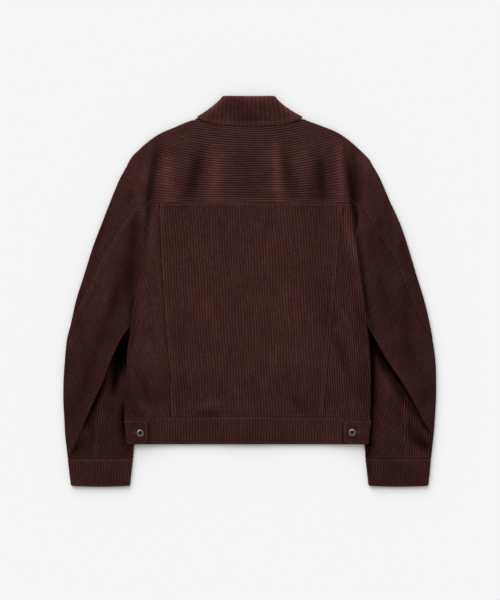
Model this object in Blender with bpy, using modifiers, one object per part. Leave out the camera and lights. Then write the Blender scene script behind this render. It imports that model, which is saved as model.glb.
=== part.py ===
"""A corduroy trucker jacket laid flat, face down, with its back up.

The tables are in millimetres, the scene in metres. X runs across the back, Y up the back towards the collar, and Z
away from the surface that the jacket lies on. "out" is a distance from the centre line of the body, "up" is a place
along Y, "lift" is a height above the surface. Every cloth panel is an open grid of points on the panel's outer face,
which Solidify turns into a wall.
"""

import math

import bmesh
import bpy
import numpy as np
from mathutils import Vector

MM = 0.001

# Walls and clearances.
WALL = 1.5  # one layer of 8-wale corduroy
BAND_WALL = 2.4  # waistband, cuffs and tabs: folded double and pressed
COLLAR_WALL = 2.0
SEAM = 0.3  # left open between two pieces that are sewn together
CURVED_SEAM = 0.7  # as much along the armhole and the neck, where straight facets would touch
LAY = 0.3  # left between a piece and the one that it lies on

# The body.
BODY_MID = -3.4  # X of the centre line: the sleeves don't lie quite alike
YOKE_SEAM = 167.0
BAND_TOP = -239.4
BAND_BOTTOM = -290.7
NECK_OUT = 99.0  # half the width of the back neck
NECK_UP = 325.0
FRONT_NECK_UP = 262.0
FRONT_LAP = 17.0  # how far each front passes the centre line
BODY_COLUMNS = ("up", "left", "right", "rim", "under", "mid")
# The side fold of the back. rim: lift of the back where it turns under. under: lift of the layer below it.
# mid: lift of the middle of the back.
BODY = (
    (-239.4, 233.5, 231.3, 13.2, 7.3, 7.6),
    (-207.0, 231.8, 232.2, 13.2, 7.3, 6.8),
    (-150.0, 229.9, 232.2, 13.4, 7.9, 6.5),
    (-112.0, 228.0, 230.2, 13.8, 9.0, 6.5),
    (-74.0, 222.3, 226.5, 14.2, 10.0, 6.5),
    (-36.0, 218.0, 222.0, 13.8, 9.6, 6.6),
    (2.0, 210.9, 217.6, 12.6, 7.6, 6.8),
    (40.0, 205.2, 211.9, 11.4, 6.2, 7.0),
    (78.0, 200.6, 206.2, 10.8, 5.4, 7.0),
    (116.0, 194.4, 200.5, 10.4, 5.1, 7.1),
    (144.0, 190.4, 195.7, 10.2, 5.1, 7.2),
    (167.0, 189.0, 191.9, 10.0, 5.1, 7.3),
    (201.0, 186.2, 188.1, 9.8, 5.1, 7.6),
    (239.0, 180.5, 180.5, 9.4, 5.1, 8.0),
    (277.0, 172.9, 174.8, 9.0, 5.1, 8.2),
    (325.0, 165.0, 168.0, 8.6, 5.1, 8.2),
)
RIM_REACH = 95.0  # how far inward the back rises towards its side fold
VSEAM_COLUMNS = ("up", "left", "right")
VSEAM = (
    (-239.4, 146.5, 142.5),
    (-150.0, 148.0, 150.0),
    (-74.0, 156.0, 158.0),
    (0.0, 159.9, 165.6),
    (40.0, 163.0, 168.4),
    (80.0, 164.6, 170.9),
    (120.0, 165.7, 175.3),
    (166.7, 167.2, 182.4),
)
SHOULDER_COLUMNS = ("out", "left", "right")
# The fold of the shoulder, from the neck to the tip of the shoulder.
SHOULDER = (
    (99.0, 326.5, 328.5),
    (118.0, 319.6, 321.0),
    (140.0, 310.3, 313.0),
    (171.0, 296.2, 299.8),
    (190.0, 283.0, 287.2),
    (208.0, 267.0, 271.8),
    (223.0, 250.6, 257.2),
    (230.9, 235.6, 248.4),
    (233.7, 229.6, 243.2),
)
ARMHOLE_COLUMNS = ("way", "left_out", "left_up", "right_out", "right_up")
# The armhole from the tip of the shoulder to the armpit. way: the share of the armhole that is passed.
ARMHOLE = (
    (0.0, 230.9, 235.6, 233.7, 243.2),
    (0.1, 222.3, 214.7, 224.2, 214.7),
    (0.2, 212.8, 191.9, 218.5, 182.4),
    (0.32, 207.0, 163.4, 215.6, 155.8),
    (0.38, 202.0, 148.2, 210.0, 144.0),
    (0.45, 199.5, 133.0, 208.5, 128.0),
    (0.55, 193.0, 107.0, 201.0, 103.0),
    (0.78, 177.6, 55.1, 189.5, 55.1),
    (1.0, 181.5, 5.7, 187.0, 5.7),
)
YOKE_LINE_COLUMNS = ("out", "left", "right")
# The seam under the yoke: level across the back, then down to the armhole over the side fold.
YOKE_LINE = (
    (0.0, 167.0, 167.0),
    (156.0, 167.0, 167.0),
    (166.0, 167.0, 167.0),
    (182.4, 165.0, 167.0),
    (191.9, 155.8, 166.6),
    (201.4, 148.4, 162.2),
    (213.0, 146.0, 151.4),
)
YOKE_END = {"left": 0.38, "right": 0.343}  # the share of the armhole at which the yoke ends
SIDE_SEAM_COLUMNS = ("up", "left", "right", "lift")
# Where the back's side panel ends under the side fold. lift: of the seam's outer face.
SIDE_SEAM = (
    (-239.4, 214.7, 214.0, 7.3),
    (-188.0, 210.5, 213.0, 7.3),
    (-131.0, 201.0, 207.0, 7.0),
    (-84.0, 190.0, 197.0, 5.4),
    (-46.0, 182.5, 190.0, 4.8),
    (-17.0, 179.0, 186.0, 4.7),
    (5.7, 181.2, 186.7, 4.7),
)

# The sleeves: a row is a section across the sleeve, from its outer edge to its inner edge.
# bow: the share of the armhole's own curve that the section keeps. seam_at: the back seam, as a share of the way
# across; below 0 it lies under the outer edge. fold_at: the elbow fold. tuck: how far the cloth goes back under that
# fold. step: how far the fold has opened, from 0 to 1. inner_at: the inner seam; 1 is the inner edge. The rest are
# lifts.
SLEEVE_COLUMNS = (
    "row", "outer_out", "outer_up", "inner_out", "inner_up", "bow", "seam_at", "fold_at", "tuck", "step",
    "inner_at", "outer_lift", "mid_lift", "fold_lift", "inner_lift",
)
LEFT_SLEEVE = (
    (0, 230.9, 235.6, 181.5, 5.7, 1.0, 0.33, 0.70, 0, 0, 1.0, 6.0, 4.7, 4.2, 4.2),
    (1, 245.3, 209.0, 184.0, -4.0, 0.6, 0.32, 0.70, 0, 0, 1.0, 7.0, 6.0, 4.2, 4.2),
    (2, 262.4, 167.2, 187.0, -13.0, 0.3, 0.28, 0.72, 0, 0, 1.0, 7.5, 6.4, 4.3, 4.2),
    (3, 279.4, 123.5, 190.8, -25.0, 0.1, 0.25, 0.76, 0, 0, 1.0, 8.0, 6.6, 4.8, 4.4),
    (4, 295.1, 81.7, 195.5, -38.0, 0, 0.215, 0.80, 0, 0, 1.0, 8.0, 6.8, 5.6, 4.8),
    (5, 310.6, 32.3, 201.5, -51.3, 0, 0.178, 0.86, 0, 0.1, 1.0, 8.0, 7.0, 7.0, 5.2),
    (6, 326.2, -17.1, 206.1, -66.5, 0, 0.11, 0.905, 3, 0.6, 1.0, 8.0, 7.2, 8.6, 5.6),
    (7, 336.3, -62.7, 210.0, -87.4, 0, 0.01, 0.797, 12, 1, 0.9, 8.0, 7.4, 9.3, 6.0),
    (8, 343.9, -93.1, 211.9, -108.3, 0, -0.05, 0.728, 18, 1, 0.748, 8.0, 7.4, 9.3, 6.3),
    (9, 347.7, -131.1, 212.2, -134.9, 0, -0.08, 0.64, 20, 1, 0.617, 8.0, 7.4, 9.3, 6.5),
    (10, 350.2, -169.1, 212.6, -169.1, 0, -0.1, 0.552, 18, 1, 0.575, 8.0, 7.4, 9.3, 6.5),
    (11, 350.6, -207.1, 212.6, -207.1, 0, -0.1, 0.429, 15, 1, 0.545, 8.0, 7.6, 9.3, 6.5),
    (12, 348.7, -245.1, 213.2, -245.1, 0, -0.1, 0.30, 10, 0.95, 0.497, 8.0, 8.0, 9.0, 6.5),
    (13, 347.0, -275.5, 214.7, -277.4, 0, -0.1, 0.20, 3, 0.3, 0.465, 7.6, 7.6, 7.8, 6.5),
    (14, 342.0, -318.0, 218.5, -318.4, 0, -0.1, 0.03, 0, 0, 0.446, 7.0, 7.0, 7.0, 6.5),
)
RIGHT_SLEEVE = (
    (0, 233.7, 243.2, 187.0, 5.7, 1.0, 0.31, 0.70, 0, 0, 1.0, 6.0, 4.7, 4.2, 4.2),
    (1, 250.1, 214.7, 189.0, -4.0, 0.6, 0.315, 0.70, 0, 0, 1.0, 7.0, 6.0, 4.2, 4.2),
    (2, 269.5, 170.0, 191.5, -13.0, 0.3, 0.298, 0.72, 0, 0, 1.0, 7.5, 6.4, 4.3, 4.2),
    (3, 289.0, 127.3, 195.0, -25.0, 0.1, 0.27, 0.76, 0, 0, 1.0, 8.0, 6.6, 4.8, 4.4),
    (4, 305.1, 79.8, 199.5, -38.0, 0, 0.22, 0.80, 0, 0, 1.0, 8.0, 6.8, 5.6, 4.8),
    (5, 319.2, 32.3, 205.2, -51.3, 0, 0.20, 0.86, 0, 0.1, 1.0, 8.0, 7.0, 7.0, 5.2),
    (6, 334.0, -15.2, 210.0, -66.5, 0, 0.17, 0.885, 4, 0.6, 1.0, 8.0, 7.2, 8.6, 5.6),
    (7, 344.9, -60.8, 213.8, -87.4, 0, 0.09, 0.833, 12, 1, 0.92, 8.0, 7.4, 9.3, 6.0),
    (8, 350.6, -93.1, 215.7, -108.3, 0, 0.0, 0.752, 18, 1, 0.78, 8.0, 7.4, 9.3, 6.3),
    (9, 355.7, -131.1, 217.6, -134.9, 0, -0.06, 0.652, 20, 1, 0.62, 8.0, 7.4, 9.3, 6.5),
    (10, 357.2, -169.1, 218.5, -169.1, 0, -0.09, 0.481, 20, 1, 0.45, 8.0, 7.4, 9.3, 6.5),
    (11, 356.8, -207.1, 218.9, -207.1, 0, -0.1, 0.315, 16, 1, 0.45, 8.0, 7.8, 9.3, 6.5),
    (12, 354.6, -245.1, 219.5, -245.1, 0, -0.1, 0.17, 8, 0.9, 0.444, 8.0, 8.2, 9.0, 6.5),
    (13, 352.2, -275.5, 220.4, -277.4, 0, -0.1, 0.03, 0, 0.2, 0.438, 7.6, 7.6, 7.6, 6.5),
    (14, 347.3, -317.8, 223.3, -318.2, 0, -0.1, 0.03, 0, 0, 0.405, 7.0, 7.0, 7.0, 6.5),
)
COLLAR_COLUMNS = ("turn", "fold_out", "fold_up", "edge_out", "edge_up", "seam_out")
# The collar round the neck. turn: 0 at the middle of the back, 0.5 at the side of the neck, 1 at a front end.
COLLAR = (
    (0.0, 0.0, 367.6, 0.0, 314.0, 0.0),
    (0.15, 22.0, 367.8, 33.0, 314.4, 28.0),
    (0.30, 39.0, 368.0, 63.0, 316.8, 54.0),
    (0.42, 47.0, 367.2, 85.0, 323.4, 74.0),
    (0.50, 49.0, 364.8, 94.5, 330.0, 84.0),
    (0.58, 47.5, 360.0, 93.0, 326.0, 80.0),
    (0.70, 38.0, 345.0, 88.0, 300.0, 64.0),
    (0.85, 20.0, 318.0, 74.0, 262.0, 34.0),
    (1.0, 3.0, 291.0, 52.0, 232.0, 3.0),
)

COLLAR_LEAN = {"fold_out": 3.0, "edge_out": 7.0}  # how much further out the collar's right side lies
COLLAR_HOLLOW = {"left": 3.3, "right": 5.2}  # how far its slope beside the neck curves inward

# Shapes that several pieces share.
SHOULDER_ROLL = 4.0  # horizontal radius of the fold over the shoulder
SHOULDER_RETURN = 6.0  # how far the yoke goes on under that fold
FLAP_LIFT = 6.0  # the yoke outside its fold, where it meets the sleeve
FOLD_ROLL = 2.0  # outer radius of the elbow fold
TUCK_ROLL = 0.9  # radius where the cloth under that fold turns back again
FOLD_OPENING = 8.0  # length of the step that the fold closes into where it fades out
CUFF_TOP = -318.6
CUFF_COLUMNS = ("up", "left_outer", "left_inner", "right_outer", "right_inner")
CUFF = (
    (-370.0, 336.0, 224.0, 342.3, 229.0),
    (-345.0, 339.2, 221.5, 345.0, 226.2),
    (-318.6, 342.0, 218.5, 347.3, 223.3),
)
CUFF_LIFT = 7.0
CUFF_BELLY = 1.4  # how far the cuff's lower edge bows down in the middle

# The tabs on the waistband, and their shank buttons.
TAB_TOP = -245.5
TAB_BOTTOM = -289.0
TAB_COLUMNS = ("side", "end_out", "corner", "button_out", "button_up")
TABS = (
    ("left", 190.0, 8.0, 204.3, -268.9),
    ("right", 182.4, 6.0, 197.6, -267.9),
)
HEAD_RADIUS = 7.1
HEAD_EDGE = 1.5
HEAD_RISE = 2.6
DISH_RADIUS = 3.4  # the sunk middle of the head
DISH_DEPTH = 0.9
SHANK_RADIUS = 2.8
SHANK_HOLE = 3.2
ROUND_STEPS = 24

CLOTH = ("Corduroy", (0.045, 0.018, 0.019, 1.0), 0.9, 0.0)
METAL = ("Gunmetal", (0.32, 0.31, 0.31, 1.0), 0.32, 1.0)
SIGN = {"left": -1.0, "right": 1.0}


class Table:
    """Rows with named columns, read anywhere along the first column on a smooth curve through the rows."""

    def __init__(self, names, rows):
        self.data = dict(zip(names, np.array(sorted(rows), float).T))
        self.key = self.data[names[0]]

    def at(self, name, place):
        values = self.data[name]
        slopes = np.gradient(values, self.key)
        place = np.clip(np.asarray(place, float), self.key[0], self.key[-1])
        row = np.clip(np.searchsorted(self.key, place, side="right") - 1, 0, len(self.key) - 2)
        gap = self.key[row + 1] - self.key[row]
        t = (place - self.key[row]) / gap
        start = (1 + 2 * t) * (1 - t) ** 2 * values[row] + t * (1 - t) ** 2 * gap * slopes[row]
        end = t**2 * (3 - 2 * t) * values[row + 1] + t**2 * (t - 1) * gap * slopes[row + 1]
        return start + end


body = Table(BODY_COLUMNS, BODY)
vseam = Table(VSEAM_COLUMNS, VSEAM)
shoulder = Table(SHOULDER_COLUMNS, SHOULDER)
armhole = Table(ARMHOLE_COLUMNS, ARMHOLE)
yoke_seam = Table(YOKE_LINE_COLUMNS, YOKE_LINE)
side_seam = Table(SIDE_SEAM_COLUMNS, SIDE_SEAM)
sleeves = {"left": Table(SLEEVE_COLUMNS, LEFT_SLEEVE), "right": Table(SLEEVE_COLUMNS, RIGHT_SLEEVE)}
collar_ring = Table(COLLAR_COLUMNS, COLLAR)
cuff_ring = Table(CUFF_COLUMNS, CUFF)


def ease(t):
    """0 up to t = 0, 1 from t = 1 on, and a soft S between."""
    t = np.clip(t, 0.0, 1.0)
    return t * t * (3 - 2 * t)


def ease_in(t):
    return np.clip(t, 0.0, 1.0) ** 2


def mix(a, b, t):
    return a + (b - a) * t


def place(side, out, up, lift):
    """Points in the object's frame, from their distances to the body's centre line."""
    out, up, lift = np.broadcast_arrays(*(np.asarray(v, float) for v in (out, up, lift)))
    return np.stack([BODY_MID + SIGN[side] * out, up, lift], axis=-1)


# Heights of the layers.


def back_lift(side, out, up):
    """The back's outer face: low in the middle, rising towards the side fold that lies over the sleeve."""
    rim, mid = body.at("rim", up), body.at("mid", up)
    return mix(mid, rim, ease((out - body.at(side, up) + RIM_REACH) / RIM_REACH))


def yoke_lift(side, out, up):
    """As the back, and outside the fold down to where the sleeve is sewn on."""
    inside = back_lift(side, np.minimum(out, body.at(side, up)), up)
    width = 9.0 + 25.0 * ease((up - 200.0) / 80.0)
    return mix(inside, FLAP_LIFT, ease((out - body.at(side, up)) / width))


def armhole_out(side, up):
    """The armhole's distance from the centre line at a height on it."""
    ways = np.linspace(0, 1, 101)
    ups = armhole.at(side + "_up", ways)
    return armhole.at(side + "_out", np.interp(up, ups[::-1], ways[::-1]))


ARMPIT_UP = 5.7


def front_edge(side, up):
    """The front's outer boundary: the armhole, and the side seam below the armpit."""
    return np.where(np.asarray(up) > ARMPIT_UP, armhole_out(side, up), side_seam.at(side, up))


def seam_lift(side, up):
    """The side seam's outer face, and above the armpit the end of the layer under the side fold."""
    above = mix(side_seam.at("lift", ARMPIT_UP), body.at("under", up), ease((up - ARMPIT_UP) / 40.0))
    return np.where(np.asarray(up) > ARMPIT_UP, above, side_seam.at("lift", up))


def front_lift(side, out, up):
    """The front's outer face, on the surface except over the collar, the other front and the sleeve."""
    over_collar = (COLLAR_WALL + LAY) * ease((up - 195.0) / 30.0) * ease((135.0 - out) / 25.0)
    over_lap = (WALL + LAY + 0.1) * (side == "right") * ease((FRONT_LAP + 24.0 - out) / 20.0)
    rise = ease(1.0 - (front_edge(side, up) - out) / 45.0)
    at_edge = side_seam.at("lift", np.minimum(up, ARMPIT_UP)) * ease(1.0 - (up - ARMPIT_UP) / 30.0)
    return over_collar + over_lap + rise * at_edge


# Making nodes.


def material(name, colour, roughness, metallic):
    made = bpy.data.materials.get(name) or bpy.data.materials.new(name)
    made.use_nodes = True
    shader = made.node_tree.nodes["Principled BSDF"]
    shader.inputs["Base Color"].default_value = colour
    shader.inputs["Roughness"].default_value = roughness
    shader.inputs["Metallic"].default_value = metallic
    return made


def cloth(name, points, wall, offset=-1.0, closed=False):
    """A node of cloth: a grid of points in millimetres, given its wall by Solidify. Rows run down the piece. The
    outer face looks at someone who sees the points of a row go from left to right."""
    rows, columns = points.shape[:2]
    mesh = bpy.data.meshes.new(name)
    builder = bmesh.new()
    grid = [[builder.verts.new(Vector(p) * MM) for p in row] for row in points]
    for r in range(rows - 1):
        for c in range(columns if closed else columns - 1):
            d = (c + 1) % columns
            builder.faces.new((grid[r][c], grid[r + 1][c], grid[r + 1][d], grid[r][d]))
    builder.to_mesh(mesh)
    builder.free()
    mesh.materials.append(material(*CLOTH))
    node = bpy.data.objects.new(name, mesh)
    jacket.objects.link(node)
    mesh.shade_smooth()
    shell = node.modifiers.new("Wall", "SOLIDIFY")
    shell.thickness = wall * MM
    shell.offset = offset
    return node


def neck_line(out):
    """The back neck's seam."""
    return NECK_UP - 2.6 * ease((out - 60.0) / 30.0)


def yoke_top(side, out):
    return np.where(out <= NECK_OUT, neck_line(out), shoulder.at(side, out))


YOKE_FOLD = 0.92  # the share of the yoke's width that lies inside its side fold


def yoke_column(side, share):
    """A line down the yoke, from the shoulder to the yoke seam, as (out, up) at even steps of its length."""
    down = np.linspace(0, 1, 41)
    ways = YOKE_END[side] * down
    bound = np.stack([armhole.at(side + "_out", ways) - CURVED_SEAM, armhole.at(side + "_up", ways)])
    tip, end = bound[0, 0], bound[0, -1]
    top = np.array([share * tip, yoke_top(side, share * tip)])
    fold = body.at(side, 160.0) - 0.8
    inside, outside = share / YOKE_FOLD, (share - YOKE_FOLD) / (1 - YOKE_FOLD)
    bottom_out = inside * fold if share <= YOKE_FOLD else mix(fold, end, outside)
    bottom = np.array([bottom_out, yoke_seam.at(side, bottom_out)])
    line = mix(top[:, None], bottom[:, None], down)
    bend = bound - mix(bound[:, :1], bound[:, -1:], down)
    line = line + bend * share**4
    length = np.concatenate([[0], np.cumsum(np.hypot(*np.diff(line, axis=1)))])
    return length, line


def yoke_points(side, share):
    """One column of the yoke: from under the shoulder fold, over it, and down to the yoke seam."""
    length, line = yoke_column(side, share)
    wrap = ease((line[0, 0] - NECK_OUT) / 8.0)
    top_out, top_up = (np.interp(SHOULDER_ROLL, length, line[i]) for i in (0, 1))
    lift = yoke_lift(side, top_out, top_up)
    angle = np.linspace(math.pi, 0, 5)
    turned = np.append(SHOULDER_ROLL + SHOULDER_RETURN, SHOULDER_ROLL - SHOULDER_ROLL * np.sin(angle))
    turned_lift = lift / 2 * (1 + np.append(-1, np.cos(angle)))
    plain = np.linspace(0, SHOULDER_ROLL, 6)
    along = np.append(mix(plain, turned, wrap), mix(SHOULDER_ROLL, length[-1], np.linspace(0, 1, 6)[1:]))
    out, up = (np.interp(along, length, line[i]) for i in (0, 1))
    lifts = np.append(mix(lift, turned_lift, wrap), yoke_lift(side, out[6:], up[6:]))
    return place(side, out, up, lifts)


def make_yoke():
    columns = []
    for side in ("left", "right"):
        neck = NECK_OUT / (armhole.at(side + "_out", 0.0) - CURVED_SEAM)
        shares = [0.0, neck / 2, neck, neck + 0.035, 0.65, 0.80, 0.886]
        half = [yoke_points(side, share) for share in shares + [YOKE_FOLD, YOKE_FOLD + 0.02, 1.0]]
        columns = half[::-1] if side == "left" else columns + half[1:]
    cloth("back_yoke", np.array(columns).transpose(1, 0, 2), WALL)


def make_back_center():
    rows = []
    for up in SIDE_ROWS:
        left, right = (vseam.at(side, up) - SEAM / 2 for side in ("left", "right"))
        across = np.linspace(-left, right, 11)
        lifts = np.where(across < 0, back_lift("left", -across, up), back_lift("right", across, up))
        rows.append(place("right", across, up, lifts))
    cloth("back_center", np.array(rows), WALL)


SIDE_ROWS = (166.5, 140.0, 110.0, 75.0, 40.0, 5.7, -17.0, -46.0, -84.0, -131.0, -188.0, -239.1)


def flap_end(side, up, sag):
    """Where the side panel meets the sleeve outside its side fold, on a row that sags towards there."""
    end = armhole_out(side, up)
    for _ in range(8):
        end = armhole_out(side, up + sag * (yoke_seam.at(side, end) - YOKE_SEAM - 3 * SEAM))
    return end - 1.6 * CURVED_SEAM


def side_section(side, up, counts=(5, 5, 4)):
    """A row of a side panel: from the V seam to the side fold, round it, and back under it to the side seam. Near
    the yoke it goes on outside the fold instead, down to the sleeve, as the yoke does."""
    flat, turning, under = counts
    sag = 1.03 - 1.03 * ease((SIDE_ROWS[0] - up) / 50.0)
    fold_up = up + sag * (yoke_seam.at(side, body.at(side, up)) - YOKE_SEAM)
    fold, rim, low = (body.at(name, fold_up) for name in (side, "rim", "under"))
    radius = (rim - low) / 2
    start = vseam.at(side, up) + SEAM / 2
    out = np.linspace(start, fold - radius, flat + 1)
    lift = back_lift(side, out, up)
    lift += (rim - lift[-1]) * ease((out - start) / (out[-1] - start))
    angle = np.linspace(0, math.pi, turning + 1)[1:]
    turn_out, turn_lift = fold - radius + radius * np.sin(angle), (rim + low) / 2 + radius * np.cos(angle)
    end = min(front_edge(side, up) + SEAM, fold - radius - 2.5)
    share = np.linspace(0, 1, under + 1)[1:]
    over_sleeve = np.clip((fold - radius - sleeve_inner(side, up)) / (fold - radius - end), 0.0, 0.8)
    under_lift = mix(low, seam_lift(side, up), ease((share - over_sleeve) / (1 - over_sleeve)))
    out = np.concatenate([out, turn_out, mix(fold - radius, end, share)])
    lift = np.concatenate([lift, turn_lift, under_lift])
    ups = up + sag * (yoke_seam.at(side, out) - YOKE_SEAM - 3 * SEAM * ease((out - 162.0) / 8.0))
    beyond = np.linspace(0, 1, turning + under + 1)[1:]
    flap_out = mix(fold - radius, flap_end(side, up, sag), beyond)
    flap_ups = up + sag * (yoke_seam.at(side, flap_out) - YOKE_SEAM - 3 * SEAM)
    flap = place(side, flap_out, flap_ups, yoke_lift(side, flap_out, flap_ups))
    points = place(side, out, ups, lift)
    points[flat + 1:] = mix(points[flat + 1:], flap, ease((up - 92.0) / 36.0))
    return points


def sleeve_inner(side, up):
    """The sleeve's inner edge, which lies under the body."""
    table = sleeves[side]
    return np.interp(up, table.data["inner_up"][::-1], table.data["inner_out"][::-1])


def make_back_side(side):
    points = np.array([side_section(side, up) for up in SIDE_ROWS])
    cloth("back_side_" + side, points if side == "right" else points[:, ::-1], WALL)


def front_neck(out):
    """The front neck's seam."""
    return FRONT_NECK_UP + 56.0 * (np.clip(out, 0, NECK_OUT) / NECK_OUT) ** 2


def make_front(side):
    """A front is hidden under the jacket: it is plain, and the left one laps over the right one."""
    inset = SHOULDER_ROLL + SHOULDER_RETURN + SEAM
    first = 0.055
    tip_out, tip_up = armhole.at(side + "_out", first) - CURVED_SEAM, armhole.at(side + "_up", first)
    neck = np.array([-FRONT_LAP, 0.0, FRONT_LAP + 4.0, FRONT_LAP + 24.0, 70.0, NECK_OUT])
    slope = np.linspace(NECK_OUT + 8.0, tip_out, 5)
    top_out = np.concatenate([neck, slope])
    passed = ease((slope - NECK_OUT) / (tip_out - NECK_OUT))
    drop = mix(inset * 1.1, shoulder.at(side, tip_out) - tip_up, passed)
    top_up = np.concatenate([front_neck(neck), shoulder.at(side, slope) - drop])
    share = ease_in((top_out + FRONT_LAP) / (tip_out + FRONT_LAP))
    outer, _ = sleeve_ways(Section(side, 0))
    hole = Section(side, 0).points(outer)
    hole_ups = [p[1] for p in hole if p[2] < 0.01 and ARMPIT_UP + 4 < p[1] < tip_up - 4]
    low_ups = [up for up in SIDE_ROWS if up <= ARMPIT_UP]
    edge_start, edge_end = front_edge(side, tip_up), side_seam.at(side, BAND_TOP)
    rows = []
    for bound_up in [tip_up] + sorted(hole_ups, reverse=True) + low_ups:
        down = (tip_up - bound_up) / (tip_up - low_ups[-1])
        bend = front_edge(side, bound_up) - mix(edge_start, edge_end, down)
        edge = edge_end - edge_start + tip_out
        bottom_out = np.where(top_out < 60.0, top_out, mix(60.0, edge, (top_out - 60.0) / (tip_out - 60.0)))
        out = mix(top_out, bottom_out, down) + bend * share
        up = mix(top_up, low_ups[-1], down)
        rows.append(place(side, out, up, front_lift(side, out, up)))
    points = np.array(rows)
    cloth("front_" + side, points if side == "left" else points[:, ::-1], WALL)


# The sleeves.


class Section:
    """The outer face of a sleeve across one section. Its legs are numbered: 0 to 1 the outer half that lies on
    the surface, to 2 round the outer edge, to 3 the upper arm's layer, to 4 the elbow fold, to 5 the forearm's
    layer, to 6 round the inner edge, to 7 the inner half that lies on the surface."""

    def __init__(self, side, row):
        table = sleeves[side]
        self.side, self.row = side, row
        self.v = {name: float(table.at(name, row)) for name in SLEEVE_COLUMNS}
        v = self.v
        v["step"], v["tuck"] = min(max(v["step"], 0), 1), max(v["tuck"], 0)
        self.outer = np.array([v["outer_out"], v["outer_up"]])
        self.inner = np.array([v["inner_out"], v["inner_up"]])
        self.width = float(np.hypot(*(self.inner - self.outer)))
        self.fold = v["fold_at"] * self.width
        self.fold_start = self.fold - FOLD_ROLL
        self.fold_end = self.fold_start + mix(FOLD_OPENING, -v["tuck"], v["step"])
        self.fold_end_lift = v["fold_lift"] - v["step"] * 2 * (FOLD_ROLL + TUCK_ROLL)

    def leg(self, number, t):
        """(across, lift) at shares t of one leg."""
        v, width = self.v, self.width
        outer, inner = v["outer_lift"] / 2, v["inner_lift"] / 2
        if number == 0:
            return mix(width / 2, outer, t), 0 * t
        if number == 1:
            angle = math.pi * (t - 0.5)
            return outer - outer * np.cos(angle), outer + outer * np.sin(angle)
        if number == 2:
            across = mix(outer, self.fold_start, t)
            rise = mix(v["outer_lift"], v["mid_lift"], ease(t / 0.35))
            return across, mix(rise, v["fold_lift"], ease((t - 0.5) / 0.5))
        if number == 3:
            return self.fold_leg(t)
        if number == 4:
            across = mix(self.fold_end, width - inner, t)
            return across, mix(self.fold_end_lift, v["inner_lift"], ease(t))
        if number == 5:
            angle = math.pi * (0.5 - t)
            return width - inner + inner * np.cos(angle), inner + inner * np.sin(angle)
        return mix(width - inner, width / 2, t), 0 * t

    def fold_leg(self, t):
        """Round the fold, back under it, and round again, in three shares. step closes it to a soft step."""
        v = self.v
        first, back, second = (np.clip(v, 0, 1) for v in (t * 9 / 4, t * 9 - 4, (t * 9 - 5) / 4))
        across = self.fold_start + FOLD_ROLL * np.sin(math.pi * first) - v["tuck"] * back
        across = across - TUCK_ROLL * np.sin(math.pi * second)
        lift = v["fold_lift"] - FOLD_ROLL * (1 - np.cos(math.pi * first))
        lift = lift - TUCK_ROLL * (1 - np.cos(math.pi * second))
        across = mix(self.fold_start + FOLD_OPENING * t, across, v["step"])
        return across, mix(v["fold_lift"], lift, v["step"])

    def way_of(self, share):
        """Where a seam at a share of the section's width lies, in legs. Below 0 it lies under the outer edge."""
        distance = share * self.width
        outer, inner = self.v["outer_lift"] / 2, self.v["inner_lift"] / 2
        if distance < -outer:
            return 1 - (-distance - outer) / (self.width / 2 - outer)
        if distance < outer:
            return 1.5 + distance / outer / 2
        if share >= 1:
            return 5.5
        if distance < self.fold_start and share < self.v["fold_at"] - 0.2:
            return 2 + (distance - outer) / (self.fold_start - outer)
        return 4 + np.clip((distance - self.fold_end) / (self.width - inner - self.fold_end), 0.05, 1.0)

    def spread(self, start, end, count):
        """Ways at count even steps from start to end, closer together where the section bends."""
        fine = np.linspace(start, end, 281)
        steps = np.diff(self.points(fine), axis=0)
        length = np.linalg.norm(steps, axis=1)
        heading = steps / np.maximum(length, 1e-6)[:, None]
        bend = np.arccos(np.clip((heading[1:] * heading[:-1]).sum(axis=1), -1, 1))
        measure = np.concatenate([[0], np.cumsum(length + np.append(0, bend) * BEND_WEIGHT)])
        return np.interp(np.linspace(0, measure[-1], count + 1), measure, fine)

    def points(self, ways):
        ways = np.asarray(ways, float) % 7
        across, lift = np.zeros_like(ways), np.zeros_like(ways)
        for number in range(7):
            here = (ways >= number) & ((ways < number + 1) | (number == 6))
            across[here], lift[here] = self.leg(number, ways[here] - number)
        share = across / self.width
        plan = mix(self.outer[:, None], self.inner[:, None], share)
        hole = np.stack([armhole.at(self.side + name, share) for name in ("_out", "_up")])
        ends = np.stack([[armhole.at(self.side + name, s) for s in (0, 1)] for name in ("_out", "_up")])
        plan = plan + max(self.v["bow"], 0) * (hole - mix(ends[:, :1], ends[:, 1:], share))
        return place(self.side, plan[0], plan[1], lift)


BEND_WEIGHT = 40.0  # a radian of bend counts as this many millimetres when points are spread
SLEEVE_ROWS = (0, 1, 2.5, 4, 5, 6, 7, 8, 9, 10, 11, 12, 13, 14)
FOLD_STEPS = np.array([0, 1.33, 2.67, 4, 5, 6.33, 7.67, 9]) / 9


def sleeve_ways(section):
    """Where the points of the outer and of the under piece lie round a section."""
    seam, inner = section.v["seam_at"], section.v["inner_at"]
    gap = SEAM / 2 / section.width
    bent_gap = 2.6 * gap if -14 < seam * section.width < 18 else gap
    wide_gap = 4 * gap if inner > 0.85 else gap
    first, end = section.way_of(inner + wide_gap), section.way_of(inner - wide_gap)
    if inner >= 1:
        first, end = 5.64, 5.36
    outer = section.spread(first, 7 + section.way_of(seam - bent_gap), 14)
    upper = section.spread(section.way_of(seam + bent_gap), 3, 6)
    forearm = section.spread(4, end, 3)
    return outer, np.concatenate([upper[:-1], 3 + FOLD_STEPS, forearm[1:]])


def make_sleeve(side):
    outer, under = [], []
    for row in SLEEVE_ROWS:
        section = Section(side, row)
        ways = sleeve_ways(section)
        outer.append(section.points(ways[0]))
        under.append(section.points(ways[1]))
    for name, points in (("sleeve_under_", under), ("sleeve_outer_", outer)):
        points = np.array(points)
        cloth(name + side, points if side == "left" else points[:, ::-1], WALL)


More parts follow.
